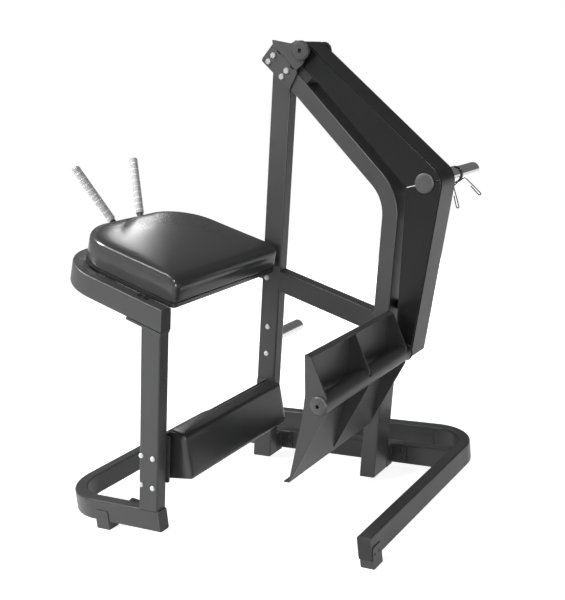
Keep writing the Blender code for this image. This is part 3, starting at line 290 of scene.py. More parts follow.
@dataclass(frozen=True)
class Finish:
    """A surface finish: one material built from shared shader groups.

    Attributes:
        name: Name of the material.
        slot: Slot of the record that the finish belongs to.
        colour: Linear base colour.
        rim_worn_and_lit_colour: Linear colour on rounded edges, lighter than the base: wear, and a painted
            highlight along the edges.
        metallic: Metal share.
        rough: Lowest and highest roughness.
        specular: Specular level of the base.
        coat: Weight and roughness of a clear top layer.
        grain: Grain scale, bump strength and bump distance.
        patch: How strongly slow patches change the colour.
        worn_and_lit_amount: How strongly rounded edges take the rim colour of wear and painted highlight.
        pebble: Scale of a vinyl grain, or 0 for none.
        streak: Stretch of brush lines across the three axes, or nothing.
        edge_coat: Weight of the thicker clear layer that gathers on rounded edges.
    """

    name: str
    slot: Slot
    colour: Triple
    rim_worn_and_lit_colour: Triple
    metallic: float = 0.0
    rough: Pair = (0.40, 0.48)
    specular: float = 0.35
    coat: Pair = (0.0, 0.20)
    grain: Triple = (900.0, 0.10, 0.0002)
    patch: float = 0.04
    worn_and_lit_amount: float = 0.35
    pebble: float = 0.0
    streak: Optional[Triple] = None
    edge_coat: float = 0.0

    def material(self) -> bpy.types.Material:
        """Builds the material once and hands it out again after that.

        Returns:
            The finish's material.
        """
        found = bpy.data.materials.get(self.name)
        if found is not None:
            return found
        made = bpy.data.materials.new(self.name)
        made.use_nodes = True
        made.diffuse_color = (*self.colour, 1.0)
        tree = made.node_tree
        shader = tree.nodes["Principled BSDF"]
        shader.inputs["Specular IOR Level"].default_value = self.specular
        shader.inputs["Metallic"].default_value = self.metallic
        shader.inputs["Coat Weight"].default_value = self.coat[0]
        shader.inputs["Coat Roughness"].default_value = self.coat[1]
        place = tree.nodes.new("ShaderNodeTexCoord").outputs["Object"]
        vector = place
        if self.streak is not None:
            turn = tree.nodes.new("ShaderNodeMapping")
            turn.inputs["Scale"].default_value = self.streak
            wire(tree, place, turn.inputs["Vector"])
            vector = turn.outputs["Vector"]
        grain = self._placed(tree, "grain", vector, Scale=self.grain[0])
        rim = self._placed(tree, "rim", place, Amount=self.worn_and_lit_amount)
        self._colour(tree, shader, grain, rim)
        if self.edge_coat:
            shader.inputs["Coat IOR"].default_value = EDGE_COAT_IOR
            wire(tree, math_node(tree, "MULTIPLY", rim.outputs["Mask"], self.edge_coat / self.worn_and_lit_amount),
                 shader.inputs["Coat Weight"])
        wire(tree, ramp(tree, grain.outputs["Patch"], 0.0, 1.0, *self.rough), shader.inputs["Roughness"])
        height = grain.outputs["Height"]
        if self.pebble:
            pebble = self._placed(tree, "pebble", place, Scale=self.pebble)
            height = math_node(tree, "ADD", pebble.outputs["Height"],
                               math_node(tree, "MULTIPLY", height, GRAIN_UNDER_PEBBLE))
        bump = tree.nodes.new("ShaderNodeBump")
        bump.inputs["Strength"].default_value = self.grain[1]
        bump.inputs["Distance"].default_value = self.grain[2]
        wire(tree, height, bump.inputs["Height"])
        wire(tree, bump.outputs["Normal"], shader.inputs["Normal"])
        return made

    def _placed(self, tree: Tree, group: str, vector: Plug,
                **values: float) -> bpy.types.ShaderNodeGroup:
        """Places a shared group with its own values."""
        node = tree.nodes.new("ShaderNodeGroup")
        node.node_tree = GROUPS[group]
        wire(tree, vector, node.inputs["Vector"])
        for name, value in values.items():
            node.inputs[name].default_value = value
        return node

    def _colour(self, tree: Tree, shader: bpy.types.ShaderNode, grain: bpy.types.ShaderNode,
                rim: bpy.types.ShaderNode) -> None:
        """Feeds the base colour: the paint, its slow patches and its lighter rims, which are rubbed wear and also
        a painted highlight.
        """
        dark = (*(c * (1.0 - self.patch) for c in self.colour), 1.0)
        light = (*(min(1.0, c * (1.0 + self.patch)) for c in self.colour), 1.0)
        patched = self._mixed(tree, grain.outputs["Patch"], dark, light)
        wire(tree, self._mixed(tree, rim.outputs["Mask"], patched, (*self.rim_worn_and_lit_colour, 1.0)),
             shader.inputs["Base Color"])

    @staticmethod
    def _mixed(tree: Tree, factor: Plug, low: object, high: object) -> Plug:
        """Mixes two colours, each plain or a socket, by a factor."""
        node = tree.nodes.new("ShaderNodeMix")
        node.data_type = "RGBA"
        for name, value in (("Factor", factor), ("A", low), ("B", high)):
            wire(tree, value, node.inputs[name])
        return node.outputs["Result"]


# The second colour of each finish, on its rounded edges, is lighter than the first: wear, and a painted highlight
# along the edges.
CHARCOAL = Finish("charcoal_powder_coat", Slot.FRAME, (0.069, 0.069, 0.070), (0.13, 0.13, 0.132),
                  rough=(0.36, 0.44), specular=0.30, coat=(0.0, 0.34), edge_coat=1.0)
BLACK_ARM = Finish("black_satin_paint", Slot.ARM, (0.016, 0.016, 0.017), (0.050, 0.050, 0.052),
                   rough=(0.30, 0.36), specular=0.20, coat=(0.0, 0.34), edge_coat=1.0)
ZINC = Finish("dull_zinc_plate", Slot.CHROME, (0.46, 0.46, 0.47), (0.52, 0.52, 0.52), 0.10, (0.46, 0.54),
              grain=(700.0, 0.05, 0.0002), patch=0.04, worn_and_lit_amount=0.3)
# Near-white and not metallic: the plated heads' reflection of the bright room is painted into their colour, and
# the bar on the arm's seam is a painted highlight.
PAINTED_GLINT_ZINC = Finish("zinc_plate_with_painted_glint", Slot.CHROME, (0.93, 0.93, 0.94), (0.95, 0.95, 0.95), 0.0,
                     (0.30, 0.38), grain=(700.0, 0.04, 0.0002), patch=0.02, worn_and_lit_amount=0.3)
PLATED = Finish("polished_plate", Slot.CHROME, (0.66, 0.66, 0.67), (0.80, 0.80, 0.80), 1.0, (0.14, 0.20),
                grain=(300.0, 0.03, 0.0002), patch=0.03, worn_and_lit_amount=0.2, streak=(1.0, 0.08, 1.0))
BLACKENED = Finish("blackened_spring_steel", Slot.DARK, (0.035, 0.035, 0.037), (0.09, 0.09, 0.09), 0.7,
                   (0.32, 0.42))
RUBBER = Finish("black_rubber", Slot.RUBBER, (0.018, 0.018, 0.018), (0.03, 0.03, 0.03), rough=(0.65, 0.80),
                specular=0.25, grain=(700.0, 0.3, 0.0003))
GRIP_GREY = Finish("satin_grey_grip", Slot.GRIP, (0.60, 0.60, 0.605), (0.70, 0.70, 0.70), 0.0, (0.50, 0.56),
                   grain=(90.0, 0.01, 0.0001), patch=0.02)
# Near-white grip rings: a painted highlight along the rings' ridges.
RING_PAINTED_HIGHLIGHT = Finish("grip_ring_painted_highlight", Slot.GRIP, (0.93, 0.93, 0.93), (0.95, 0.95, 0.95), 0.0, (0.50, 0.56),
                    grain=(90.0, 0.01, 0.0001), patch=0.02)
VINYL = Finish("black_upholstery_vinyl", Slot.VINYL, (0.067, 0.067, 0.068), (0.078, 0.078, 0.078),
               rough=(0.20, 0.24), specular=0.34, grain=(1500.0, 0.05, 0.0002), pebble=700.0, patch=0.06)
MOULDED = Finish("moulded_black_plastic", Slot.PLASTIC, (0.030, 0.030, 0.030), (0.05, 0.05, 0.05),
                 rough=(0.42, 0.52))
BLACK_BOARD = Finish("black_covered_board", Slot.BOARD, (0.022, 0.021, 0.020), (0.04, 0.038, 0.036),
                     rough=(0.70, 0.85), specular=0.2, grain=(500.0, 0.3, 0.0004))
GREY_CAP = Finish("satin_grey_cap", Slot.CAP, (0.100, 0.100, 0.102), (0.12, 0.12, 0.12), rough=(0.44, 0.50),
                  specular=0.32)
BY_SLOT = {finish.slot: finish for finish in (CHARCOAL, BLACK_ARM, PLATED, BLACKENED, RUBBER, GRIP_GREY, VINYL,
                                              MOULDED, BLACK_BOARD, GREY_CAP)}


# ---------------------------------------------------------------- mesh helpers

# Points nearer than this are one point
SAME_POINT = 2e-6

# Steps in a rounded corner of a tube's section, and how much longer than one step its edges may be
TUBE_CORNER_STEPS = 4
TUBE_STEP_SLACK = 1.3


def only(kind: type, geom: Iterable) -> list:
    """Keeps the mesh elements of one kind, in their order."""
    return [g for g in geom if isinstance(g, kind)]


def sharp_edges(bm: Mesh, angle: float) -> list[Edge]:
    """Edges whose faces meet at more than an angle, in degrees."""
    return [e for e in bm.edges if e.is_manifold and e.calc_face_angle(0.0) > math.radians(angle)]


def bevel(bm: Mesh, geom: Iterable, offset: float, segments: int, affect: str = "EDGES", held: bool = False
          ) -> list[Face]:
    """Rounds edges or corner points.

    Args:
        bm: Mesh to work on.
        geom: Edges or points to round.
        offset: Distance from them to where the rounding starts.
        segments: Steps across the rounding.
        affect: EDGES or VERTICES.
        held: Keeps roundings from running over each other.

    Returns:
        The new faces.
    """
    return bmesh.ops.bevel(bm, geom=list(geom), offset=offset, offset_type="OFFSET", segments=segments,
                           profile=0.5, affect=affect, clamp_overlap=held, loop_slide=held, material=-1)["faces"]


def mark_rim(bm: Mesh, faces: Iterable[Face]) -> None:
    """Marks faces as a rounded edge, which the finishes read."""
    layer = bm.faces.layers.float.get("rim") or bm.faces.layers.float.new("rim")
    for face in faces:
        if face.is_valid:
            face[layer] = 1.0


def round_edges(bm: Mesh, width: float, angle: float = 35.0, segments: int = 3,
                edges: Optional[Sequence[Edge]] = None) -> None:
    """Rounds the edges that are sharper than an angle and marks the new faces.

    Args:
        bm: Mesh to work on.
        width: Offset of the rounding.
        angle: Smallest angle between faces, in degrees.
        segments: Steps across the rounding.
        edges: Edges to round, in place of those that the angle finds.
    """
    if edges is None:
        edges = sharp_edges(bm, angle)
    mark_rim(bm, bevel(bm, edges, width, segments, held=True))


def finish_piece(name: str, bm: Mesh, finish: Finish, body: Body, nodes: Sequence[str],
                 sharp: float = 40.0) -> Piece:
    """Makes an object of a mesh, shades it and puts it in place of its CAD nodes.

    Args:
        name: Name of the piece.
        bm: Mesh in the row frame, which is freed.
        finish: Finish of the surface.
        body: Body that carries the piece.
        nodes: CAD nodes that the piece stands for.
        sharp: Angle over which an edge stays sharp, in degrees.

    Returns:
        The finished object.
    """
    mesh = bpy.data.meshes.new(name)
    bm.to_mesh(mesh)
    bm.free()
    piece = bpy.data.objects.new(name, mesh)
    bpy.context.scene.collection.objects.link(piece)
    mesh.materials.clear()
    mesh.materials.append(finish.material())
    mesh.shade_smooth()
    mesh.set_sharp_from_angle(angle=math.radians(sharp))
    weigh = piece.modifiers.new("even_normals", "WEIGHTED_NORMAL")
    weigh.keep_sharp, weigh.weight = True, 80
    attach(piece, body.value)
    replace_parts(piece, *nodes)
    LOG.info("piece %s: %d faces", name, len(mesh.polygons))
    return piece


def cad_mesh(node: str) -> Mesh:
    """Copies a CAD node's mesh and joins its loose triangles into flat faces.

    Args:
        node: Name of the CAD node.

    Returns:
        A closed mesh in the row frame.
    """
    bm = bmesh.new()
    bm.from_mesh(frame["nodes"][node].data)
    bmesh.ops.remove_doubles(bm, verts=bm.verts, dist=SAME_POINT)
    bmesh.ops.dissolve_limit(bm, angle_limit=math.radians(0.6), use_dissolve_boundaries=False,
                             verts=bm.verts, edges=bm.edges, delimit=set())
    for layer in list(bm.loops.layers.uv):
        bm.loops.layers.uv.remove(layer)
    return bm


@dataclass
class Softened:
    """A CAD node kept in its shape, with its edges rounded.

    Attributes:
        node: CAD node.
        body: Body that carries it.
        finish: Finish of the surface.
        width: Rounding of its edges.
        angle: Smallest angle that is rounded.
    """

    node: str
    body: Body
    finish: Finish
    width: float = 0.0010
    angle: float = 50.0

    def build(self) -> Piece:
        """Builds the piece."""
        bm = cad_mesh(self.node)
        round_edges(bm, self.width, self.angle, 2)
        return finish_piece(self.node + "_dressed", bm, self.finish, self.body, (self.node,))


def soften(finish: Finish, width: float, *nodes: str, angle: float = 50.0) -> None:
    """Softens CAD nodes of the frame, in the order they are given."""
    for node in nodes:
        Softened(node, Body.FRAME, finish, width, angle).build()


@dataclass
class SweptTube:
    """Rectangular tube with rounded corners, swept along flat corners with equal bends.

    Attributes:
        corners: Corner points of its middle line, in the row frame.
        out: Direction across the plane of the path.
        wide: Size in the plane of the path.
        deep: Size along the out direction.
        bend: Radius of the bends on the middle line.
        corner: Rounding of the section.
        wall: Thickness of the wall.
        steps: Rings in one bend.
    """

    corners: Sequence[Vector]
    out: Vector
    wide: float
    deep: float
    bend: float = 0.0
    corner: float = 0.006
    wall: float = 0.003
    steps: int = 18

    def build(self, start_plane: Optional[tuple[Vector, Vector]] = None,
              end_plane: Optional[tuple[Vector, Vector]] = None) -> Mesh:
        """Sweeps the section, meets the end planes and gives the tube its wall.

        Args:
            start_plane: Point and normal of the plane that the start is cut on.
            end_plane: Point and normal of the plane that the end is cut on.

        Returns:
            The tube's mesh.
        """
        bm = bmesh.new()
        out = self.out.normalized()
        points = [Vector(p) for p in self.corners]
        ways = [(b - a).normalized() for a, b in zip(points, points[1:])]
        first = ring = self._section(bm, points[0], ways[0], out)
        spare = 0.0
        for i, way in enumerate(ways):
            turn = 0.0
            if i + 1 < len(ways):
                side = out.cross(way)
                turn = math.atan2(ways[i + 1].dot(side), ways[i + 1].dot(way))
            take = self.bend * math.tan(abs(turn) / 2)
            length = (points[i + 1] - points[i]).length - spare - take
            ring = self._run(bm, ring, way * length)
            if turn:
                ring = self._turn(bm, ring, points[i + 1] - way * take, way, out, turn)
            spare = take
        if start_plane:
            self._mitre(first, ways[0], *start_plane)
        if end_plane:
            self._mitre(ring, ways[-1], *end_plane)
        return self._walled(bm)

    def _section(self, bm: Mesh, spot: Vector, way: Vector, out: Vector) -> list:
        """Draws the rounded section at the path's start and returns its edges."""
        face = bmesh.ops.create_grid(bm, x_segments=1, y_segments=1, size=0.5)
        bmesh.ops.scale(bm, vec=(self.wide, self.deep, 1.0), verts=face["verts"])
        bevel(bm, bm.verts[:], self.corner, TUBE_CORNER_STEPS, "VERTICES")
        bmesh.ops.delete(bm, geom=bm.faces[:], context="FACES_ONLY")
        turn = Matrix((out.cross(way), out, way)).transposed().to_4x4()
        bmesh.ops.transform(bm, matrix=Matrix.Translation(spot) @ turn, verts=bm.verts)
        return bm.edges[:]

    @staticmethod
    def _run(bm: Mesh, ring: list, step: Vector) -> list:
        """Extrudes the ring straight and returns the new one."""
        made = bmesh.ops.extrude_edge_only(bm, edges=ring)["geom"]
        verts = only(Vert, made)
        bmesh.ops.translate(bm, vec=step, verts=verts)
        return only(Edge, made)

    def _turn(self, bm: Mesh, ring: list, spot: Vector, way: Vector, out: Vector,
              turn: float) -> list:
        """Spins the ring round one bend and returns the last ring."""
        sign = 1.0 if turn > 0 else -1.0
        centre = spot + out.cross(way) * (self.bend * sign)
        steps = max(4, round(self.steps * abs(turn) / (math.pi / 2)))
        made = bmesh.ops.spin(bm, geom=ring, cent=centre, axis=out * sign, angle=abs(turn), steps=steps,
                              use_merge=False, use_duplicate=False)
        return only(Edge, made["geom_last"])

    @staticmethod
    def _mitre(ring: list, way: Vector, spot: Vector, normal: Vector) -> None:
        """Slides a ring's points along the tube onto a plane."""
        for vert in {v for edge in ring for v in edge.verts}:
            vert.co += way * ((spot - vert.co).dot(normal) / way.dot(normal))

    def _walled(self, bm: Mesh) -> Mesh:
        """Marks the rounded corners and gives the skin its wall."""
        bmesh.ops.remove_doubles(bm, verts=bm.verts, dist=1e-6)
        bmesh.ops.recalc_face_normals(bm, faces=bm.faces)
        arc = self.corner * math.pi / 2 / TUBE_CORNER_STEPS * TUBE_STEP_SLACK
        corners = [f for f in bm.faces if min(e.calc_length() for e in f.edges) < arc]
        mark_rim(bm, corners)
        before = sum((f.calc_center_median() for f in bm.faces), Vector()) / len(bm.faces)
        size = max((v.co - before).length for v in bm.verts)
        bmesh.ops.solidify(bm, geom=bm.faces[:], thickness=self.wall)
        grown = max((v.co - before).length for v in bm.verts)
        if grown > size + self.wall * 0.2:
            raise ValueError("the tube's wall went outwards")
        rims = [e for e in bm.edges if e.is_manifold and abs(e.calc_face_angle(0.0) - math.pi / 2) < 0.6]
        round_edges(bm, 0.0006, segments=2, edges=rims)
        return bm


def spun(start: Vector, axis: Vector, profile: Sequence[Pair], steps: int = 48) -> Mesh:
    """Turns a profile of (distance, radius) points round an axis.

    Args:
        start: Point on the axis where the distance is zero.
        axis: Direction of the axis.
        profile: Points of the profile.
        steps: Points round the body.

    Returns:
        The turned mesh.
    """
    bm = bmesh.new()
    axis = Vector(axis).normalized()
    side = axis.orthogonal().normalized()
    verts = [bm.verts.new(Vector(start) + axis * t + side * r) for t, r in profile]
    for a, b in zip(verts, verts[1:]):
        bm.edges.new((a, b))
    bmesh.ops.spin(bm, geom=bm.verts[:] + bm.edges[:], cent=start, axis=axis, angle=2 * math.pi, steps=steps,
                   use_merge=True, use_duplicate=False)
    bmesh.ops.remove_doubles(bm, verts=bm.verts, dist=SAME_POINT)
    bmesh.ops.recalc_face_normals(bm, faces=bm.faces)
    return bm


def block(low: Vector, high: Vector, place: Matrix = Matrix(), soft: float = 0.0008) -> Mesh:
    """Straight block between two corners of a placed frame, with soft edges."""
    bm = bmesh.new()
    low, high = Vector(low), Vector(high)
    bmesh.ops.create_cube(bm, size=1.0)
    bmesh.ops.scale(bm, vec=high - low, verts=bm.verts)
    bmesh.ops.translate(bm, vec=(low + high) / 2, verts=bm.verts)
    bmesh.ops.transform(bm, matrix=place, verts=bm.verts)
    if soft > 0:
        round_edges(bm, soft, segments=2)
    return bm


def hexagon(start: Vector, axis: Vector, across: float, high: float) -> Mesh:
    """Hexagonal head standing on a face.

    Args:
        start: Centre of its foot.
        axis: Direction that it stands up in.
        across: Distance across its flats.
        high: Height of the head.

    Returns:
        The head's mesh.
    """
    bm = bmesh.new()
    bmesh.ops.create_circle(bm, cap_ends=True, segments=6, radius=across / math.sqrt(3))
    grown = bmesh.ops.extrude_face_region(bm, geom=bm.faces[:])["geom"]
    bmesh.ops.translate(bm, vec=(0, 0, high), verts=only(Vert, grown))
    bmesh.ops.recalc_face_normals(bm, faces=bm.faces)
    round_edges(bm, 0.0009, segments=2)
    turn = Vector(axis).to_track_quat("Z", "Y").to_matrix().to_4x4()
    bmesh.ops.transform(bm, matrix=Matrix.Translation(start) @ turn, verts=bm.verts)
    return bm


def fillet_offset(points: Sequence[Vector], i: int, radius: float) -> float:
    """Distance from a corner to where its rounding starts."""
    spot = points[i]
    back, on = points[i - 1] - spot, points[(i + 1) % len(points)] - spot
    return radius / math.tan(back.angle(on) / 2)


def plate(outline: Sequence[Triple], low_y: float, high_y: float, soft: float = 0.0006,
          segments: int = 7) -> Mesh:
    """Flat plate from its side view.

    Args:
        outline: Corners as (x, z, radius) in the drawing.
        low_y: Its near face in the drawing.
        high_y: Its far face.
        soft: Rounding of its rims.
        segments: Steps in each rounded corner.

    Returns:
        The plate's mesh.
    """
    bm = bmesh.new()
    points = [drawn(x, low_y, z) for x, z, _ in outline]
    verts = [bm.verts.new(p) for p in points]
    bm.faces.new(verts)
    for i, (vert, corner) in enumerate(zip(verts, outline)):
        if corner[2] > 0:
            bevel(bm, [vert], fillet_offset(points, i, corner[2]), segments, "VERTICES")
    grown = bmesh.ops.extrude_face_region(bm, geom=bm.faces[:])["geom"]
    bmesh.ops.translate(bm, vec=(0, high_y - low_y, 0),
                        verts=only(Vert, grown))
    bmesh.ops.recalc_face_normals(bm, faces=bm.faces)
    if soft > 0:
        round_edges(bm, soft, 50.0, 2)
    return bm


def bent_sheet(line: Sequence[Triple], low_y: float, high_y: float, thick: float,
               inner: Vector, soft: float = 0.0006) -> Mesh:
    """Sheet that follows a side view line with rounded bends.

    Args:
        line: Corners as (x, z, radius) in the drawing.
        low_y: Its near edge in the drawing.
        high_y: Its far edge.
        thick: Its thickness.
        inner: Direction in which its first face gets its thickness.
        soft: Rounding of its rims.

    Returns:
        The sheet's mesh.
    """
    bm = bmesh.new()
    points = [drawn(x, low_y, z) for x, z, _ in line]
    verts = [bm.verts.new(p) for p in points]
    edges = [bm.edges.new(pair) for pair in zip(verts, verts[1:])]
    grown = bmesh.ops.extrude_edge_only(bm, edges=edges)["geom"]
    bmesh.ops.translate(bm, vec=(0, high_y - low_y, 0),
                        verts=only(Vert, grown))
    for i in range(1, len(line) - 1):
        if line[i][2] > 0:
            bend = [e for e in bm.edges
                    if all((v.co - points[i]).cross(FARWARD).length < 1e-5 for v in e.verts)]
            bevel(bm, bend, fillet_offset(points, i, line[i][2]), 8)
    bmesh.ops.recalc_face_normals(bm, faces=bm.faces)
    bm.faces.ensure_lookup_table()
    first = min(bm.faces, key=lambda f: (f.calc_center_median() - points[0]).length)
    if first.normal.dot(inner) > 0:
        bmesh.ops.reverse_faces(bm, faces=bm.faces)
    bmesh.ops.solidify(bm, geom=bm.faces[:], thickness=thick)
    if soft > 0:
        round_edges(bm, soft, 50.0, 2)
    return bm


def hex_well(bm: Mesh, start: Vector, axis: Vector, radius: float, above: float) -> None:
    """Turns the round well of a spun head into a hexagonal one.

    Args:
        bm: Spun mesh.
        start: Start of its axis.
        axis: Direction of its axis.
        radius: Radius of the well.
        above: Points nearer to the start than this stay.
    """
    axis = Vector(axis).normalized()
    side = axis.orthogonal().normalized()
    other = axis.cross(side)
    for vert in bm.verts:
        rel = vert.co - start
        out = rel - axis * rel.dot(axis)
        if rel.dot(axis) > above and 1e-6 < out.length < radius * 1.02:
            turn = math.degrees(math.atan2(out.dot(other), out.dot(side))) % 60 - 30
            vert.co -= out * (1 - math.cos(math.radians(30)) / math.cos(math.radians(turn)))


def socket_head(start: Vector, axis: Vector, radius: float, high: float, well: float = 0.30) -> Mesh:
    """Button head with a hexagonal socket.

    Args:
        start: Centre of its foot.
        axis: Direction that it stands up in.
        radius: Radius of the head.
        high: Height of the head.
        well: Share of the radius that the socket takes.

    Returns:
        The head's mesh.
    """
    arc = [(high * (0.16 + 0.84 * math.sin(math.radians(a))),
            radius * (0.52 + 0.48 * math.cos(math.radians(a))))
           for a in range(0, 91, 15)]
    deep = high * 0.30
    profile = [(0, 0), (0, radius), *arc, (high, radius * well), (high - 0.0002, radius * well * 0.97),
               (deep, radius * well * 0.95), (deep, 0)]
    bm = spun(start, axis, profile, 36)
    hex_well(bm, Vector(start), axis, radius * well, deep * 0.9)
    return bm


def hex_bolt(start: Vector, axis: Vector, across: float, high: float) -> Mesh:
    """Hexagonal head on a flat washer.

    Args:
        start: Centre of the washer's foot.
        axis: Direction that the head stands up in.
        across: Distance across the flats.
        high: Height of washer and head.

    Returns:
        The mesh of both.
    """
    washer, rim, edge = 0.0013, across * 0.585, 0.0003
    disc = spun(start, axis, [(0, 0), (0, rim - edge), (edge, rim), (washer - edge, rim),
                              (washer, rim - edge), (washer, 0)], 40)
    return joined(disc, hexagon(start + axis * washer, axis, across, high - washer))


def swept_bar(points: Sequence[Vector], radius: float, sides: int, ripple: float = 0.0) -> Mesh:
    """Round bar through points, extruded ring by ring.

    Args:
        points: Middle line.
        radius: Radius of the bar.
        sides: Points round it.
        ripple: Share by which every other ring is smaller, as on a weld bead.

    Returns:
        The closed bar.
    """
    bm = bmesh.new()
    heading = (points[1] - points[0]).normalized()
    turn = heading.to_track_quat("Z", "Y").to_matrix().to_4x4()
    bmesh.ops.create_circle(bm, cap_ends=True, segments=sides, radius=radius,
                            matrix=Matrix.Translation(points[0]) @ turn)
    cap = bm.faces[:]
    for i in range(1, len(points)):
        grown = bmesh.ops.extrude_face_region(bm, geom=cap)["geom"]
        if i > 1:
            bmesh.ops.delete(bm, geom=cap, context="FACES_ONLY")
        cap = only(Face, grown)
        verts = only(Vert, grown)
        bmesh.ops.translate(bm, vec=points[i] - points[i - 1], verts=verts)
        ahead = (points[min(i + 1, len(points) - 1)] - points[i - 1]).normalized()
        bmesh.ops.rotate(bm, cent=points[i], matrix=heading.rotation_difference(ahead).to_matrix(), verts=verts)
        if ripple:
            size = 1.0 - ripple if i % 2 else 1.0 / (1.0 - ripple)
            centred = Matrix.Translation(-points[i])
            bmesh.ops.transform(bm, matrix=Matrix.Scale(size, 4), space=centred, verts=verts)
        heading = ahead
    bmesh.ops.recalc_face_normals(bm, faces=bm.faces)
    return bm


def joined(*parts: Mesh) -> Mesh:
    """Puts several meshes into one and frees them."""
    whole = bmesh.new()
    for part in parts:
        mesh = bpy.data.meshes.new("part")
        part.to_mesh(mesh)
        part.free()
        whole.from_mesh(mesh)
        bpy.data.meshes.remove(mesh)
    return whole


def weld(name: str, body: Body, *lines: tuple[Vector, Vector], radius: float = 0.0024) -> Piece:
    """Painted weld beads along straight joints.

    Args:
        name: Name of the piece.
        body: Body that carries it.
        lines: End points of each bead.
        radius: Radius of the beads.

    Returns:
        One piece holding all the beads.
    """
    beads = []
    for start, end in lines:
        steps = max(4, int((end - start).length / 0.0026))
        spots = [start.lerp(end, k / steps) for k in range(steps + 1)]
        beads.append(swept_bar(spots, radius, 8, 0.09))
    return finish_piece(name, joined(*beads), CHARCOAL if body != Body.ARM else BLACK_ARM, body, (), 70.0)


def ring_line(x: float, y: float, z: float, radius: float) -> list[Vector]:
    """Points once round a drawing point, in its side view."""
    turns = (math.radians(8 * k) for k in range(46))
    return [drawn(x + radius * math.cos(a), y, z + radius * math.sin(a)) for a in turns]


def horn_end(radius: float, long: float) -> list[Pair]:
    """Profile of a plate horn's rounded end, with the shallow dimple in its face."""
    return [(long - 0.0030, radius), (long - 0.0015, radius - 0.0004), (long - 0.0004, radius - 0.0015),
            (long, radius - 0.0030), (long, 0.0060), (long - 0.0012, 0.0052), (long - 0.0012, 0)]


def crossing(spot: Vector, way: Vector, other: Vector, other_way: Vector) -> Vector:
    """Point of the side view where two lines meet."""
    rel, cross = other - spot, way.x * other_way.y - way.y * other_way.x
    return spot + way * ((rel.x * other_way.y - rel.y * other_way.x) / cross)


def slope_frame() -> Matrix:
    """Turns (s, y, h) of the pad slope into the row frame."""
    zero = sloped(0, 0, 0)
    columns = (sloped(1, 0, 0) - zero, sloped(0, 1, 0) - zero, sloped(0, 0, 1) - zero)
    return Matrix.Translation(zero) @ Matrix(columns).transposed().to_4x4()


def softened_line(spots: Sequence[Vector], passes: int = 2) -> list[Vector]:
    """Cuts the corners of a line, pass by pass, and keeps its ends."""
    for _ in range(passes):
        line = [spots[0]]
        for a, b in zip(spots, spots[1:]):
            line += [a.lerp(b, 0.25), a.lerp(b, 0.75)]
        spots = line + [spots[-1]]
    return list(spots)


@dataclass
class BaseFrame:
    """Bent base tube, its cross beam, end plugs and four feet.

    Attributes:
        wide: Width of the tube.
        low: Underside of the tube.
        high: Top of the tube.
        long: Length of the base.
        deep: Depth of the base.
        bend: Radius of its bends.
        near_end: Where the near run ends.
        right_end: Where the right run ends.
        beam_near: Near face of the cross beam.
        beam_wide: Width of the cross beam.
    """

    wide: float = 0.0456
    low: float = BASE_LOW
    high: float = BASE_HIGH
    long: float = 1.2261
    deep: float = 1.0546
    bend: float = 0.165
    near_end: float = 0.4835
    right_end: float = 0.0850
    beam_near: float = BEAM_NEAR
    beam_wide: float = 0.0455

    def build(self) -> None:
        """Builds the base."""
        mid, mid_z, tall = self.wide / 2, (self.low + self.high) / 2, self.high - self.low
        corners = [drawn(x, y, mid_z) for x, y in (
            (self.near_end, mid), (mid, mid), (mid, self.deep - mid), (self.long - mid, self.deep - mid),
            (self.long - mid, self.right_end))]
        tube = SweptTube(corners, UP, self.wide, tall, self.bend)
        finish_piece("base_tube_bent", tube.build(), CHARCOAL, Body.FRAME, ("base_tube",))
        beam_y = self.beam_near + self.beam_wide / 2
        ends = [drawn(x, beam_y, mid_z) for x in (self.wide + GAP, self.long - self.wide - GAP)]
        beam = SweptTube(ends, UP, self.beam_wide, tall)
        finish_piece("cross_beam_tube", beam.build(), CHARCOAL, Body.FRAME, ("cross_beam",))
        soften(MOULDED, 0.0008, "base_cap_left", "base_cap_right")
        soften(CHARCOAL, 0.0009, "foot_near_left", "foot_near_right", "foot_far_left", "foot_far_right")
        self._lug()
        self._beads(mid_z)

    @staticmethod
    def _lug() -> None:
        """Builds the small lug on the inside of the near run, with a black disc on its face as painted shade for
        its eye.
        """
        lug = plate([(0.3200, 0.0600, 0.002), (0.3640, 0.0600, 0.002), (0.3640, 0.1075, 0.006),
                     (0.3330, 0.1115, 0.008), (0.3200, 0.1010, 0.006)], 0.0460, 0.0510, 0.0006)
        eye = spun(drawn(0.3440, 0.0452, BASE_HIGH), NEARWARD,
                   [(0, 0), (0, 0.0042), (0.0008, 0.0036), (0.0008, 0)], 20)
        finish_piece("base_lug", lug, CHARCOAL, Body.FRAME, ())
        finish_piece("base_lug_eye_painted_shade", eye, RUBBER, Body.FRAME, ())

    def _beads(self, mid_z: float) -> None:
        """Lays the beads at the ends of the cross beam."""
        lines = []
        half = (self.high - self.low) / 2 - 0.006
        for x in (self.wide, self.long - self.wide):
            for y in (self.beam_near - 0.0004, self.beam_near + self.beam_wide + 0.0004):
                lines.append((drawn(x, y, mid_z - half), drawn(x, y, mid_z + half)))
        weld("cross_beam_beads", Body.FRAME, *lines, radius=0.0020)


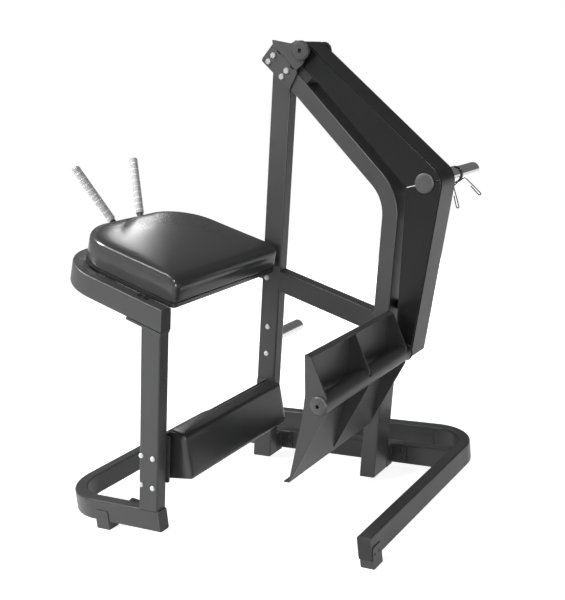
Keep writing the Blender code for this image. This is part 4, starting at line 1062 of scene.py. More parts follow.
@dataclass
class LeftPost:
    """Leaning near-left post with its flange and bolts."""

    wide: float = 0.078
    deep: float = 0.047
    mid_x: float = 0.5125
    mid_z: float = 0.5
    foot: float = 0.1033
    flange_low: float = -0.0688

    def build(self) -> None:
        """Builds the post."""
        way = tilted(LEAN)
        low = drawn(self.mid_x + math.tan(LEAN) * (self.foot - self.mid_z), self.deep / 2, self.foot)
        tube = SweptTube([low, low + way * 0.78], FARWARD, self.wide, self.deep)
        mesh = tube.build((low, UP), (sloped(0, 0, self.flange_low - GAP), tilted(SLOPE)))
        finish_piece("post_tube", mesh, CHARCOAL, Body.FRAME, ("post_left",))
        soften(CHARCOAL, 0.0010, "post_flange")
        soften(BLACKENED, 0.0005, "post_bolt_1", "post_bolt_2")
        half, lift, reach = self.wide / 2 / math.cos(LEAN) - 0.007, 0.0006, 0.016
        back = Vector((0, self.deep / 2 - 0.0002, lift))
        sides = ((low + Vector((x, -reach, lift)), low + Vector((x, reach, lift)))
                 for x in (-half - 0.0060, half + 0.0064))
        weld("post_beads", Body.FRAME, (low + back - Vector((half, 0, 0)), low + back + Vector((half, 0, 0))),
             *sides, radius=0.0018)


@dataclass
class PadFrame:
    """U-shaped sloping frame, its plug and the straps under the board."""

    deep: float = 0.049
    tall: float = 0.0745
    top: float = 0.0140
    head: float = -0.1850
    end: float = 0.2935
    far: float = UPRIGHT_FAR
    bend: float = 0.1605
    upright_left: float = 0.0384

    def build(self) -> None:
        """Builds the frame."""
        mid = self.deep / 2
        depth = self.top - self.tall / 2
        past = 0.50
        corners = [sloped(s, y, depth) for s, y in ((past, mid), (self.head + mid, mid),
                                                    (self.head + mid, self.far - mid), (past, self.far - mid))]
        tube = SweptTube(corners, tilted(SLOPE), self.deep, self.tall, self.bend)
        across, (x, z) = dipped(LEAN), UPRIGHT_MIDDLE
        left = drawn(x - self.upright_left / math.cos(LEAN), 0, z) - across * GAP
        mesh = tube.build((sloped(self.end, 0, self.top), across), (left, across))
        finish_piece("pad_frame_tube", mesh, CHARCOAL, Body.FRAME, ("pad_frame",))
        soften(MOULDED, 0.0008, "pad_frame_cap")
        soften(CHARCOAL, 0.0009, "pad_strap_head", "pad_strap_tail")
        self._board()

    def _board(self) -> None:
        """Builds the pad's board with its vinyl wrap, and the cover sunk into its underside."""
        bm = block(Vector((-0.1310, 0.0712, -0.0012)), Vector((0.2884, 0.6748, 0.0140)), soft=0.0)
        posts = [e for e in bm.edges if abs(e.verts[0].co.z - e.verts[1].co.z) > 0.01]
        bevel(bm, posts, 0.018, 8)
        under = min(bm.faces, key=lambda f: f.calc_center_median().z)
        bmesh.ops.inset_region(bm, faces=[under], thickness=0.022, use_even_offset=True)
        bmesh.ops.translate(bm, vec=(0, 0, 0.0006), verts=under.verts)
        rim = [e for e in bm.edges if e.is_manifold and e.calc_face_angle(0.0) > 1.0
               and max(v.co.z for v in e.verts) < 0.0]
        round_edges(bm, 0.0022, segments=3, edges=rim)
        bmesh.ops.transform(bm, matrix=slope_frame(), verts=bm.verts)
        finish_piece("torso_board_wrapped", bm, VINYL, Body.FRAME, ("torso_board",))
        cover = block(Vector((-0.1080, 0.0942, -0.0011)), Vector((0.2654, 0.6518, -0.0004)), slope_frame(),
                      0.0002)
        finish_piece("torso_board_cover", cover, BLACK_BOARD, Body.FRAME, ())


def smoothed(bm: Mesh, passes: int) -> None:
    """Smooths a mesh, pass by pass."""
    for _ in range(passes):
        bmesh.ops.smooth_vert(bm, verts=bm.verts, factor=0.5, use_axis_x=True, use_axis_y=True,
                              use_axis_z=True)


def settle(piece: Piece, voxel: float, place: Matrix, passes: int, tight: bool = False) -> None:
    """Gives a closed form an even skin of small faces, smooths it and puts it in its place.

    Args:
        piece: Piece whose mesh lies straight in its own frame.
        voxel: Face size.
        place: Turns its own frame into the row frame.
        passes: Rounds of smoothing.
        tight: Draws the skin back on to the form it came from.
    """
    bm = bmesh.new()
    bm.from_mesh(piece.data)
    form = BVHTree.FromBMesh(bm)
    bm.free()
    bpy.context.view_layer.objects.active = piece
    even = piece.modifiers.new("even_skin", "REMESH")
    even.mode, even.voxel_size, even.adaptivity = "VOXEL", voxel, 0.0
    graph = bpy.context.evaluated_depsgraph_get()
    mesh = bpy.data.meshes.new_from_object(piece.evaluated_get(graph))
    piece.modifiers.clear()
    piece.data = mesh
    bm = bmesh.new()
    bm.from_mesh(mesh)
    smoothed(bm, passes)
    if tight:
        for vert in bm.verts:
            vert.co = form.find_nearest(vert.co)[0]
        smoothed(bm, 3)
    bmesh.ops.transform(bm, matrix=place, verts=bm.verts)
    bm.to_mesh(mesh)
    bm.free()


# Skin of the simulated pads, and the heights over the resting face where it starts and ends to be held
CLOTH_STIFFNESS, CLOTH_BENDING, CLOTH_FRAMES = 40.0, 4.0, 20
STILL_BELOW, FREE_OVER = 0.003, 0.015


@dataclass
class Cushion:
    """Foam pad under tight upholstery vinyl, which stands only a little proud of its form.

    Attributes:
        node: CAD node that it replaces.
        voxel: Face size of its even skin.
        swell: Furthest that the simulation may move a point.
        pressure: Inner pressure of the simulation.
        fill: How tight the pad is; not used.
        passes: Rounds of smoothing.
        tight: Draws the skin back on to the form it came from.
        floor_normal: Direction away from the face that it rests on.
    """

    node: str
    voxel: float = 0.0052
    swell: float = 0.0008
    pressure: float = 4.0
    fill: float = 0.95
    passes: int = 5
    tight: bool = False
    floor_normal: Vector = field(default_factory=UP.copy)

    def form(self) -> Mesh:
        """The pad's starting form, straight in its own frame."""
        raise NotImplementedError

    def place(self) -> Matrix:
        """Turns the pad's straight frame into the row frame."""
        raise NotImplementedError

    def rest_on(self) -> Vector:
        """A point of the face that it rests on."""
        raise NotImplementedError

    def build(self) -> Piece:
        """Builds the pad, swells it and finishes it.

        Returns:
            The finished pad.
        """
        piece = finish_piece(self.node + "_upholstered", self.form(), VINYL, Body.FRAME, (self.node,), 180.0)
        piece.modifiers.clear()
        settle(piece, self.voxel, self.place(), self.passes, self.tight)
        self._swell(piece)
        piece.data.materials.clear()
        piece.data.materials.append(VINYL.material())
        piece.data.shade_smooth()
        finer = piece.modifiers.new("finer_skin", "SUBSURF")
        finer.levels = finer.render_levels = 1
        LOG.info("pad %s: %d faces before the finer skin", self.node, len(piece.data.polygons))
        return piece

    def _swell(self, piece: Piece) -> None:
        """Presses the skin outwards from inside, within the cap, and keeps the resting face flat."""
        before = [v.co.copy() for v in piece.data.vertices]
        cloth = piece.modifiers.new("swell", "CLOTH")
        setting = cloth.settings
        setting.use_pressure, setting.uniform_pressure_force = True, self.pressure
        setting.effector_weights.gravity = 0.0
        setting.tension_stiffness = setting.compression_stiffness = CLOTH_STIFFNESS
        setting.bending_stiffness = CLOTH_BENDING
        scene = bpy.context.scene
        for frame_number in range(1, CLOTH_FRAMES + 1):
            scene.frame_set(frame_number)
        graph = bpy.context.evaluated_depsgraph_get()
        moved = [v.co.copy() for v in piece.evaluated_get(graph).data.vertices]
        piece.modifiers.remove(cloth)
        scene.frame_set(1)
        floor = self.rest_on()
        for vert, old, new in zip(piece.data.vertices, before, moved):
            step = new - old
            if step.length > self.swell:
                step *= self.swell / step.length
            lift = (old - floor).dot(self.floor_normal)
            step *= min(1.0, max(0.0, lift - STILL_BELOW) / FREE_OVER)
            vert.co = old + step


@dataclass
class TorsoPad(Cushion):
    """Wide pad for the chest, with tight sides and a rolled tail."""

    node: str = "torso_pad"
    floor_normal: Vector = field(default_factory=lambda: tilted(SLOPE))
    head: float = -0.1830
    tail: float = 0.2890
    near: float = 0.0705
    far: float = 0.6755
    low: float = 0.0130
    edge: float = 0.0995
    head_corner: float = 0.175
    tail_corner: float = 0.018

    def levels(self) -> list[Triple]:
        """Height, side inset and tail inset of each level, from the resting face to the crown."""
        low, top = self.low, self.edge
        return [(low, 0.0030, 0.0030), (low + 0.0010, 0.0012, 0.0012), (low + 0.0030, 0.0003, 0.0003),
                (low + 0.0120, 0.0, 0.0), (top - 0.0500, 0.0, 0.0012), (top - 0.0460, 0.0, 0.0030),
                (top - 0.0430, 0.0, 0.0042), (top - 0.0400, 0.0, 0.0030), (top - 0.0360, 0.0, 0.0016),
                (top - 0.0290, 0.0, 0.0018), (top - 0.0220, 0.0004, 0.0040), (top - 0.0160, 0.0008, 0.0080),
                (top - 0.0110, 0.0018, 0.0130), (top - 0.0070, 0.0036, 0.0190), (top - 0.0035, 0.0062, 0.0260),
                (top - 0.0010, 0.0094, 0.0335), (top + 0.0006, 0.0130, 0.0420), (top + 0.0022, 0.0200, 0.0560),
                (top + 0.0032, 0.0300, 0.0700), (top + 0.0044, 0.0500, 0.0900), (top + 0.0054, 0.0800, 0.1100),
                (top + 0.0064, 0.1400, 0.1600), (top + 0.0068, 0.2200, 0.2100)]

    def form(self) -> Mesh:
        """Grows the outline upwards, level by level."""
        bm = bmesh.new()
        long, wide = self.tail - self.head, self.far - self.near
        made = bmesh.ops.create_grid(bm, x_segments=1, y_segments=1, size=0.5)["verts"]
        bmesh.ops.scale(bm, vec=(long, wide, 1.0), verts=made)
        for end, size in ((-1, self.head_corner), (1, self.tail_corner)):
            verts = [v for v in bm.verts if v.co.x * end > 0 and abs(abs(v.co.x) - long / 2) < 1e-6
                     and abs(abs(v.co.y) - wide / 2) < 1e-6]
            bevel(bm, verts, size, 28, "VERTICES")
        cap, levels = bm.faces[:], self.levels()
        was = (0.0, 0.0, 0.0)
        for i, now in enumerate(levels):
            if i:
                grown = bmesh.ops.extrude_face_region(bm, geom=cap)["geom"]
                if i > 1:
                    bmesh.ops.delete(bm, geom=cap, context="FACES_ONLY")
                cap = only(Face, grown)
            self._draw_in(cap[0].verts, was, now, long, wide)
            was = now
        bmesh.ops.recalc_face_normals(bm, faces=bm.faces)
        return bm

    def place(self) -> Matrix:
        """Puts the pad's middle on the slope."""
        return slope_frame() @ Matrix.Translation(((self.head + self.tail) / 2, (self.near + self.far) / 2, 0))

    def _draw_in(self, verts: Iterable[Vert], was: tuple, now: tuple, long: float, wide: float
                 ) -> None:
        """Scales a level's outline from the last level's box to its own."""
        for vert in verts:
            x, y = vert.co.x, vert.co.y
            share = (x + long / 2 - was[1]) / (long - was[1] - was[2])
            across = (y + wide / 2 - was[1]) / (wide - 2 * was[1])
            vert.co.x = -long / 2 + now[1] + share * (long - now[1] - now[2])
            vert.co.y = -wide / 2 + now[1] + across * (wide - 2 * now[1])
            vert.co.z = now[0]

    def rest_on(self) -> Vector:
        """Centre of the board's top."""
        return sloped(0.05, 0.37, self.low)


@dataclass
class KneePad(Cushion):
    """Box-shaped pad for the standing leg's knee.

    Attributes:
        back: Run of its back face in x and z.
        sag: How far its lower half is drawn down its back face.
    """

    node: str = "knee_pad"
    floor_normal: Vector = field(default_factory=lambda: Vector(
        (KNEE_TOP[1] - KNEE_FOOT[1], 0, KNEE_FOOT[0] - KNEE_TOP[0])).normalized())
    back: Pair = (0.0255, 0.1475)
    sag: float = 0.0050
    swell: float = 0.0004
    voxel: float = 0.0042
    passes: int = 2
    tight: bool = True

    def form(self) -> Mesh:
        """Lays the rounded CAD form straight."""
        bm = bmesh.new()
        bm.from_mesh(frame["nodes"][self.node].data)
        bmesh.ops.remove_doubles(bm, verts=bm.verts, dist=SAME_POINT)
        bmesh.ops.transform(bm, matrix=self.place().inverted(), verts=bm.verts)
        high = max(v.co.z for v in bm.verts)
        bmesh.ops.translate(bm, vec=(0, 0, -self.sag), verts=[v for v in bm.verts if v.co.z < high / 2])
        return bm

    def place(self) -> Matrix:
        """Stands the pad on its back face."""
        turn = Matrix.Rotation(math.atan2(*self.back), 4, "Y")
        return Matrix.Translation(drawn(KNEE_FOOT[0], 0.0, KNEE_FOOT[1])) @ turn

    def rest_on(self) -> Vector:
        """Foot of its back face."""
        return drawn(KNEE_FOOT[0], 0.37, KNEE_FOOT[1])


@dataclass
class Handles:
    """Two bent stems with ringed grips at the head of the pad frame.

    Attributes:
        stem: Radius of the stems.
        core: Radius of the grip between its rings.
        ring: Radius of its rings.
        rings: Number of rings.
        foot_s: Place of the stems along the slope.
        reach: Length of the bare and covered part of a stem.
    """

    stem: float = 0.0110
    core: float = 0.0153
    ring: float = 0.0157
    rings: int = 9
    foot_s: float = -0.2035
    reach: float = 0.190

    def build(self) -> None:
        """Builds both handles."""
        for side, base_y, tip_y, foot_y in (("left", 0.3234, 0.2404, 0.3360),
                                            ("right", 0.4693, 0.5522, 0.4567)):
            base, tip = Vector((self.foot_s, base_y, 0.0765)), Vector((-0.3424, tip_y, 0.2480))
            self._stem(side, base, tip, foot_y)
            self._grip(side, base, tip)

    def _stem(self, side: str, base: Vector, tip: Vector, foot_y: float) -> None:
        """Builds a stem with its lug."""
        way = (tip - base).normalized()
        low, high = Vector((self.foot_s, foot_y, 0.0100)), base + way * 0.004
        hold_low, hold_high = low + Vector((0, 0, 0.030)), high - way * 0.030
        spots = [Vector((self.foot_s, foot_y, -0.0430)), low]
        for k in range(1, 18):
            t = k / 18
            spots.append(low * (1 - t) ** 3 + hold_low * 3 * t * (1 - t) ** 2 + hold_high * 3 * t * t * (1 - t)
                         + high * t ** 3)
        spots += [high, base + way * self.reach]
        bar = swept_bar([sloped(*p) for p in spots], self.stem, 32)
        lug = block(Vector((-0.1950, foot_y - 0.016, -0.0450)), Vector((-0.1853, foot_y + 0.016, -0.0080)),
                    slope_frame(), 0.0012)
        finish_piece("handle_%s_stem" % side, joined(bar, lug), CHARCOAL, Body.FRAME, ("handle_" + side,))

    def _grip(self, side: str, base: Vector, tip: Vector) -> None:
        """Turns a grip: rounded rings with grooves between them, and a domed tip; the rings are near-white, a
        painted highlight along their ridges.
        """
        way = (tip - base).normalized()
        start, axis = sloped(*(base + way * 0.0130)), sloped(*(base + way)) - sloped(*base)
        length = (tip - base).length - 0.0130
        pitch, bore = length / (self.rings + 0.6), self.stem + 0.0006
        tip_round = [(length - back, self.core - down) for back, down in (
            (0.0050, 0), (0.0032, 0.0006), (0.0015, 0.0020), (0.0004, 0.0044), (0, 0.0080))]
        core = spun(start, axis, [
            (length - 0.0060, 0), (length - 0.0060, bore), (0.0, bore), (0.0, self.core - 0.0006),
            (0.0006, self.core), *tip_round, (length, 0)], 64)
        finish_piece("grip_%s_core" % side, core, GRIP_GREY, Body.FRAME, ("grip_" + side,), 60.0)
        rings = []
        for i in range(self.rings):
            at, inner = pitch * (0.55 + i), self.core - 0.0004
            half, flat, edge = 0.0019, 0.0015, self.ring - 0.0002
            rings.append(spun(start, axis, [
                (at - half, inner), (at - half, edge), (at - flat, self.ring), (at + flat, self.ring),
                (at + half, edge), (at + half, inner), (at - half, inner)], 64))
        finish_piece("grip_%s_rings" % side, joined(*rings), RING_PAINTED_HIGHLIGHT, Body.FRAME, (), 60.0)


@dataclass
class StandingFrame:
    """Upright, bent column, upper beam and the brackets that hold them to the cross beam.

    Attributes:
        low: Underside of the base tube.
        high: Top of the base tube.
        upright_wide: Width of the upright.
        near: Near face of the upright.
        far: Far face of the upright.
        column_wide: Width of the column in its plane.
        column_near: Near face of the column.
        column_far: Far face of the column.
        top: Centre of the column's cut top end.
        corner: Corner of its middle line.
        foot_x: Where its middle line meets the underside.
        bend: Radius of its bend.
        beam_near: Near face of the cross beam.
        beam_high: Height of the upper beam.
    """

    low: float = BASE_LOW
    high: float = BASE_HIGH
    upright_wide: float = 0.0768
    near: float = UPRIGHT_NEAR
    far: float = UPRIGHT_FAR
    column_wide: float = 0.0583
    column_near: float = 0.6440
    column_far: float = 0.7500
    top: Pair = (0.6759, 1.5583)
    corner: Pair = COLUMN_CORNER
    foot_x: float = COLUMN_FOOT
    bend: float = 0.165
    beam_near: float = BEAM_NEAR
    beam_high: float = 0.079

    def build(self) -> None:
        """Builds the standing parts."""
        mid_y = (self.column_near + self.column_far) / 2
        path = [drawn(x, mid_y, z) for x, z in (self.top, self.corner, (self.foot_x, self.low))]
        ground = (drawn(0, 0, self.low), UP)
        deep = self.column_far - self.column_near
        tube = SweptTube(path, FARWARD, self.column_wide, deep, self.bend, steps=40)
        finish_piece("bent_column_tube", tube.build(None, ground), CHARCOAL, Body.FRAME, ("bent_column",))
        self._upright(ground)
        self._upper_beam()
        mid_z = (self.low + self.high) / 2
        self._bracket("upright_foot", upright_x(mid_z), 0.0630, 0.1600, self.far)
        self._bracket("column_foot", self.column_x(mid_z), 0.0500, 0.1715, self.column_far)

    def column_x(self, z: float) -> float:
        """Middle of the column's lower run at a height."""
        return self.foot_x + (self.corner[0] - self.foot_x) * (z - self.low) / (self.corner[1] - self.low)

    def _upright(self, ground: tuple[Vector, Vector]) -> None:
        """Builds the leaning upright with its three screws."""
        mid_y = (self.near + self.far) / 2
        down = Vector((self.corner[0] - self.top[0], 0, self.corner[1] - self.top[1])).normalized()
        across = Vector((down.z, 0, -down.x))
        under = drawn(self.top[0], 0, self.top[1]) + across * (self.column_wide / 2 + GAP)
        base = drawn(upright_x(self.low), mid_y, self.low)
        tube = SweptTube([base, base + tilted(LEAN) * 1.4], FARWARD, self.upright_wide, self.far - self.near)
        finish_piece("upright_tube", tube.build(ground, (under, across)), CHARCOAL, Body.FRAME, ("upright",))
        for node, x, z in (("upright_screw", 0.5413, 0.7510), ("horn_screw_high", 0.5240, 0.5600),
                           ("horn_screw_low", 0.5050, 0.4540)):
            spot, long = drawn(x, self.near - GAP, z), self.far - self.near + 0.0022
            shank = spun(spot, FARWARD,
                         [(0, 0), (0, 0.0038), (long - 0.0004, 0.0038), (long, 0.0034), (long, 0)], 24)
            head = socket_head(spot, NEARWARD, 0.0100, 0.0048)
            # The heads take the near-white finish, a painted reflection of the bright room.
            finish_piece(node + "_head", joined(head, shank), PAINTED_GLINT_ZINC, Body.FRAME, (node,))

    def _upper_beam(self) -> None:
        """Builds the sloping beam, its flange and the beads at its ends."""
        mid_y = (self.near + self.far) / 2
        across, slope = dipped(LEAN), column_slope()
        away, up, way = dipped(slope), tilted(slope), dipped(SLOPE)
        x, z = UPRIGHT_MIDDLE
        start = drawn(x + self.upright_wide / 2 / math.cos(LEAN), 0, z) + across * GAP
        face_z, flange = 0.6, 0.0073
        face = drawn(self.column_x(face_z) - self.column_wide / 2 / math.cos(slope), 0, face_z) - away * GAP
        butt = face - away * flange
        middle = sloped(0.45, 0, -self.beam_high / 2)
        middle.y = drawn(0, mid_y, 0).y
        tube = SweptTube([middle, middle + way * 0.05], FARWARD, self.beam_high, self.far - self.near)
        mesh = tube.build((start, across), (butt, away))
        finish_piece("upper_beam_tube", mesh, CHARCOAL, Body.FRAME, ("upper_beam",))
        soften(CHARCOAL, 0.0010, "beam_flange")
        end = middle + way * ((butt - middle).dot(away) / way.dot(away))
        half = self.beam_high / 2 / math.cos(SLOPE - slope) - 0.008
        side, over = Vector((0, (self.far - self.near) / 2, 0)), up * (half + 0.0078)
        weld("upper_beam_beads", Body.FRAME, (end - side - up * half, end - side + up * half),
             (end + side - up * half, end + side + up * half),
             (end + over - side * 0.7, end + over + side * 0.7), radius=0.0018)

    def _bracket(self, name: str, mid: float, spacer: float, flange: float, back: float) -> None:
        """Builds the spacer and the screwed flange of one tube."""
        face, low, high = self.beam_near - GAP, self.low + 0.0060, self.high - 0.0045
        left, right, thick = mid - flange / 2, mid + flange / 2, 0.0060
        body = block(drawn(mid - spacer / 2, back + GAP, self.low),
                     drawn(mid + spacer / 2, face - 0.0055, high), soft=0.0010)
        sheet = plate([(x, z, 0.003) for x, z in ((left, low), (right, low), (right, high), (left, high))],
                      face - thick, face, 0.0016)
        heads = [socket_head(drawn(x, face - thick, z), NEARWARD, 0.0075, 0.0044)
                 for x in (left + 0.0150, right - 0.0150) for z in (low + 0.0170, high - 0.0170)]
        finish_piece(name + "_bracket", joined(body, sheet), CHARCOAL, Body.FRAME, (name,))
        finish_piece(name + "_screws", joined(*heads), BLACKENED, Body.FRAME, ())
        weld(name + "_beads", Body.FRAME, *(
            (drawn(x, face - 0.0062, low + 0.004), drawn(x, face - 0.0062, high - 0.004))
            for x in (mid - spacer / 2 - 0.0004, mid + spacer / 2 + 0.0004)), radius=0.0018)


@dataclass
class PivotHead:
    """Gusset plates, bolts, bosses, caps, shaft and closing block round the arm's pivot.

    Attributes:
        pivot: Pivot in the side view.
        mid_y: Middle of the column across the machine.
        half: Half the column's depth.
        plate: Thickness of a gusset plate.
        joggle: Step of the gusset plates.
        boss_long: Length of a boss.
    """

    pivot: Pair = PIVOT
    mid_y: float = 0.697
    half: float = 0.053
    plate: float = 0.0067
    joggle: float = 0.0190
    boss_long: float = 0.0107

    def build(self) -> None:
        """Builds the pivot."""
        soften(CHARCOAL, 0.0009, "gusset_near", "gusset_far", angle=55.0)
        # The closing block takes the black moulded finish, darker than the frame paint: painted shade for the
        # shade it lies in between the gusset plates.
        soften(MOULDED, 0.0022, "closing_block")
        soften(BLACKENED, 0.0008, "pivot_shaft")
        for i in range(1, 5):
            self._bolt("gusset_bolt_%d" % i)
        inner = self.half + GAP + self.plate + self.joggle + GAP
        for name, side, radius in (("near", -1, 0.0336), ("far", 1, 0.0240)):
            self._boss(name, side, radius, inner)

    def _bolt(self, node: str) -> None:
        """Dresses one through bolt: washered head, nut, thread and shank."""
        low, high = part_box(node)
        middle, face = (low + high) / 2, self.half + GAP + self.plate + GAP
        near, far = drawn(0, self.mid_y - face, 0).y, drawn(0, self.mid_y + face, 0).y
        head = hex_bolt(Vector((middle.x, near, middle.z)), NEARWARD, 0.0180, 0.0062)
        nut = hex_bolt(Vector((middle.x, far, middle.z)), FARWARD, 0.0180, 0.0080)
        end = [(0.0, 0.0), (0.0, 0.0048)]
        for k in range(11):
            end += [(0.0001 + k * 0.001, 0.0048), (0.0006 + k * 0.001, 0.0044)]
        end += [(0.0110, 0.0040), (0.0110, 0.0)]
        stud = spun(Vector((middle.x, far, middle.z)), FARWARD, end, 20)
        shank = spun(Vector((middle.x, near, middle.z)), FARWARD,
                     [(0, 0), (0, 0.0049), (far - near, 0.0049), (far - near, 0)], 20)
        finish_piece(node + "_set", joined(head, nut, stud, shank), ZINC, Body.FRAME, (node,))

    def _boss(self, name: str, side: int, radius: float, inner: float) -> None:
        """Turns a boss and the cap that sits in it."""
        seat, long = radius - 0.0037, self.boss_long
        start = drawn(self.pivot[0], self.mid_y + side * inner, self.pivot[1])
        ring = spun(start, (0, side, 0), [
            (0, 0.0128), (0, radius - 0.0004), (0.0004, radius), (long - 0.0022, radius),
            (long - 0.0010, radius - 0.0004), (long - 0.0002, radius - 0.0014), (long, radius - 0.0024),
            (long, seat + 0.0003), (long - 0.0003, seat), (long - 0.0040, seat), (long - 0.0040, 0.0128),
            (0, 0.0128)], 96)
        finish_piece("pivot_boss_" + name, ring, CHARCOAL, Body.FRAME, ("boss_" + name,), 50.0)
        cap = seat - 0.0006
        base = start + Vector((0, side * (long - 0.0037), 0))
        lid = spun(base, (0, side, 0), [
            (0, 0), (0, cap), (0.0030, cap), (0.0040, cap - 0.0006), (0.0045, cap - 0.0016),
            (0.0046, cap - 0.0040),
            (0.0046, 0.0078), (0.0042, 0.0072), (0.0004, 0.0070), (0.0004, 0)], 96)
        finish_piece("pivot_lid_" + name, lid, CHARCOAL, Body.FRAME, ("pivot_cap_" + name,), 50.0)
        screw = socket_head(base + Vector((0, side * 0.0005, 0)), Vector((0, side, 0)), 0.0066, 0.0022, 0.5)
        finish_piece("pivot_screw_" + name, screw, BLACKENED, Body.FRAME, (), 50.0)


@dataclass
class SwingArm:
    """Welded arm with its hub, plate horn, caps, foot rod and wire clip.

    Attributes:
        pivot: Pivot in the side view.
        elbow: Centre of the weight horn.
        rod: Centre of the foot rod.
        near: Near face of the arm.
        far: Far face of the arm.
        skin: Thickness of its plates.
        inset: How far the edge strip lies inside the plates.
        horn: Radius of the weight horn.
        horn_long: Length of the weight horn.
        foot_near: Near end of the foot rod.
        foot_far: Far end of the foot plate.
        wire: Radius of the clip's wire.
    """

    pivot: Pair = PIVOT
    elbow: Pair = ELBOW
    rod: Pair = ROD
    near: float = 0.638
    far: float = 0.756
    skin: float = 0.004
    inset: float = 0.0007
    horn: float = HORN_RADIUS
    horn_long: float = 0.3180
    foot_near: float = FOOT_NEAR
    foot_far: float = FOOT_FAR
    wire: float = 0.0019

    def build(self) -> None:
        """Builds the arm and all that it carries."""
        line = self.outline(0.0)
        for name, low, high in (("near", self.near, self.near + self.skin),
                                ("far", self.far - self.skin, self.far)):
            for part, side in (("upper", 1), ("lower", -1)):
                nodes = ("swing_arm",) if (name, part) == ("near", "upper") else ()
                half = self._half(plate(line, low, high, 0.0, 12), side, low if name == "near" else high)
                finish_piece("arm_plate_%s_%s" % (name, part), half, BLACK_ARM, Body.ARM, nodes)
        edge = self.outline(self.inset)
        strip = bent_sheet([edge[1], *edge[2:], edge[0]],
                           self.near + self.skin - 0.0004, self.far - self.skin + 0.0004, self.skin,
                           Vector((-1, 0, 0)), 0.0)
        finish_piece("arm_edge_strip", strip, BLACK_ARM, Body.ARM, ())
        reach = (self.far - self.near) / 2 + 0.0133 - 0.0012
        mid_y = (self.near + self.far) / 2
        hub = spun(drawn(self.pivot[0], mid_y - reach, self.pivot[1]), FARWARD, [
            (0, 0.0130), (0, 0.0237), (0.0008, 0.0245), (2 * reach - 0.0008, 0.0245), (2 * reach, 0.0237),
            (2 * reach, 0.0130), (0, 0.0130)], 72)
        finish_piece("arm_hub", hub, BLACK_ARM, Body.ARM, ())
        self._seam()
        self._horn()
        self._rod()
        self._clip()

    def _seam(self) -> None:
        """Lays a bright bar on the joint between the near plates, from the crook to the elbow cap: a painted
        highlight standing in for the glint on the joint's edge.
        """
        crook = drawn(self.elbow[0] - 0.06414, self.near + 0.0010, self.elbow[1] - 0.0113)
        elbow = drawn(self.elbow[0], self.near + 0.0010, self.elbow[1])
        way = (elbow - crook).normalized()
        seam = swept_bar([crook + way * 0.0010, crook + way * 0.0330], 0.0017, 12)
        finish_piece("arm_seam_painted_glint", seam, PAINTED_GLINT_ZINC, Body.ARM, ())

    def _half(self, bm: Mesh, side: int, outer_y: float) -> Mesh:
        """Cuts an arm plate along the line from its crook through the elbow and keeps one side.

        Args:
            bm: The whole plate.
            side: 1 for the upper part, -1 for the lower one.
            outer_y: Its outer face in the drawing, whose edges are rounded most.

        Returns:
            The part's mesh.
        """
        crook = drawn(self.elbow[0] - 0.06414, 0, self.elbow[1] - 0.0113)
        way = (drawn(self.elbow[0], 0, self.elbow[1]) - crook).normalized()
        normal = Vector((-way.z, 0, way.x)) * side
        bmesh.ops.bisect_plane(bm, geom=bm.verts[:] + bm.edges[:] + bm.faces[:], dist=1e-6,
                               plane_co=crook + normal * 0.0005, plane_no=-normal, clear_outer=True)
        bmesh.ops.holes_fill(bm, edges=[e for e in bm.edges if e.is_boundary], sides=0)
        bmesh.ops.recalc_face_normals(bm, faces=bm.faces)
        face = drawn(0, outer_y, 0).y
        rims = [e for e in bm.edges if all(abs(v.co.y - face) < 1e-4 for v in e.verts)
                and e.calc_face_angle(0.0) > math.radians(50)]
        round_edges(bm, 0.0022, segments=3, edges=rims)
        round_edges(bm, 0.0005, 50.0, 2)
        return bm

    def outline(self, inset: float) -> list[Triple]:
        """Corners of the side view as (x, z, radius), counter-clockwise from the lower left."""
        top, low = Vector((0.7020, -0.7121)).normalized(), Vector((0.6334, -0.7738)).normalized()
        pivot, elbow, rod = Vector(self.pivot), Vector(self.elbow), Vector(self.rod)
        mean = (top + low).normalized()
        end = pivot - mean * 0.0300, Vector((mean.y, -mean.x))
        lower = pivot + Vector((low.y, -low.x)) * 0.0347, low
        upper = pivot + Vector((-top.y, top.x)) * 0.0217, top
        left_low, right_low = rod + Vector((-0.0345, -0.0059)), rod + Vector((0.0188, -0.0184))
        crook, outer_low = elbow + Vector((-0.06414, -0.0113)), elbow + Vector((0.0505, -0.0288))
        outer = crossing(right_low, outer_low - right_low, *upper)
        corners = [left_low, right_low, outer, crossing(*upper, *end), crossing(*lower, *end), crook]
        radii = [0.0, 0.0, 0.062, 0.0210, 0.0335, 0.0]
        if inset:
            middle = [(corners[0] + corners[1]) / 2] * 2 + [(outer + crook) / 2] + [pivot] * 2 + [outer]
            corners = [c + (m - c).normalized() * inset for c, m in zip(corners, middle)]
        return [(c.x, c.y, r) for c, r in zip(corners, radii)]

    def _horn(self) -> None:
        """Turns the weight horn with its flange, and the elbow cap."""
        radius, long = self.horn, self.horn_long
        rim = radius + 0.0145
        start = drawn(self.elbow[0], self.far + GAP, self.elbow[1])
        horn = spun(start, FARWARD, [
            (0, 0), (0, rim - 0.0004), (0.0004, rim), (0.0080, rim), (0.0094, rim - 0.0006),
            (0.0100, rim - 0.0020),
            (0.0100, radius + 0.0006), (0.0106, radius), *horn_end(radius, long)], 96)
        finish_piece("weight_horn_turned", horn, PLATED, Body.ARM, ("weight_horn",), 50.0)
        cap = self.dome(drawn(self.elbow[0], self.near - GAP, self.elbow[1]), 0.0335, 0.0090, False)
        finish_piece("elbow_cap_domed", cap, GREY_CAP, Body.ARM, ("elbow_cap",), 50.0)

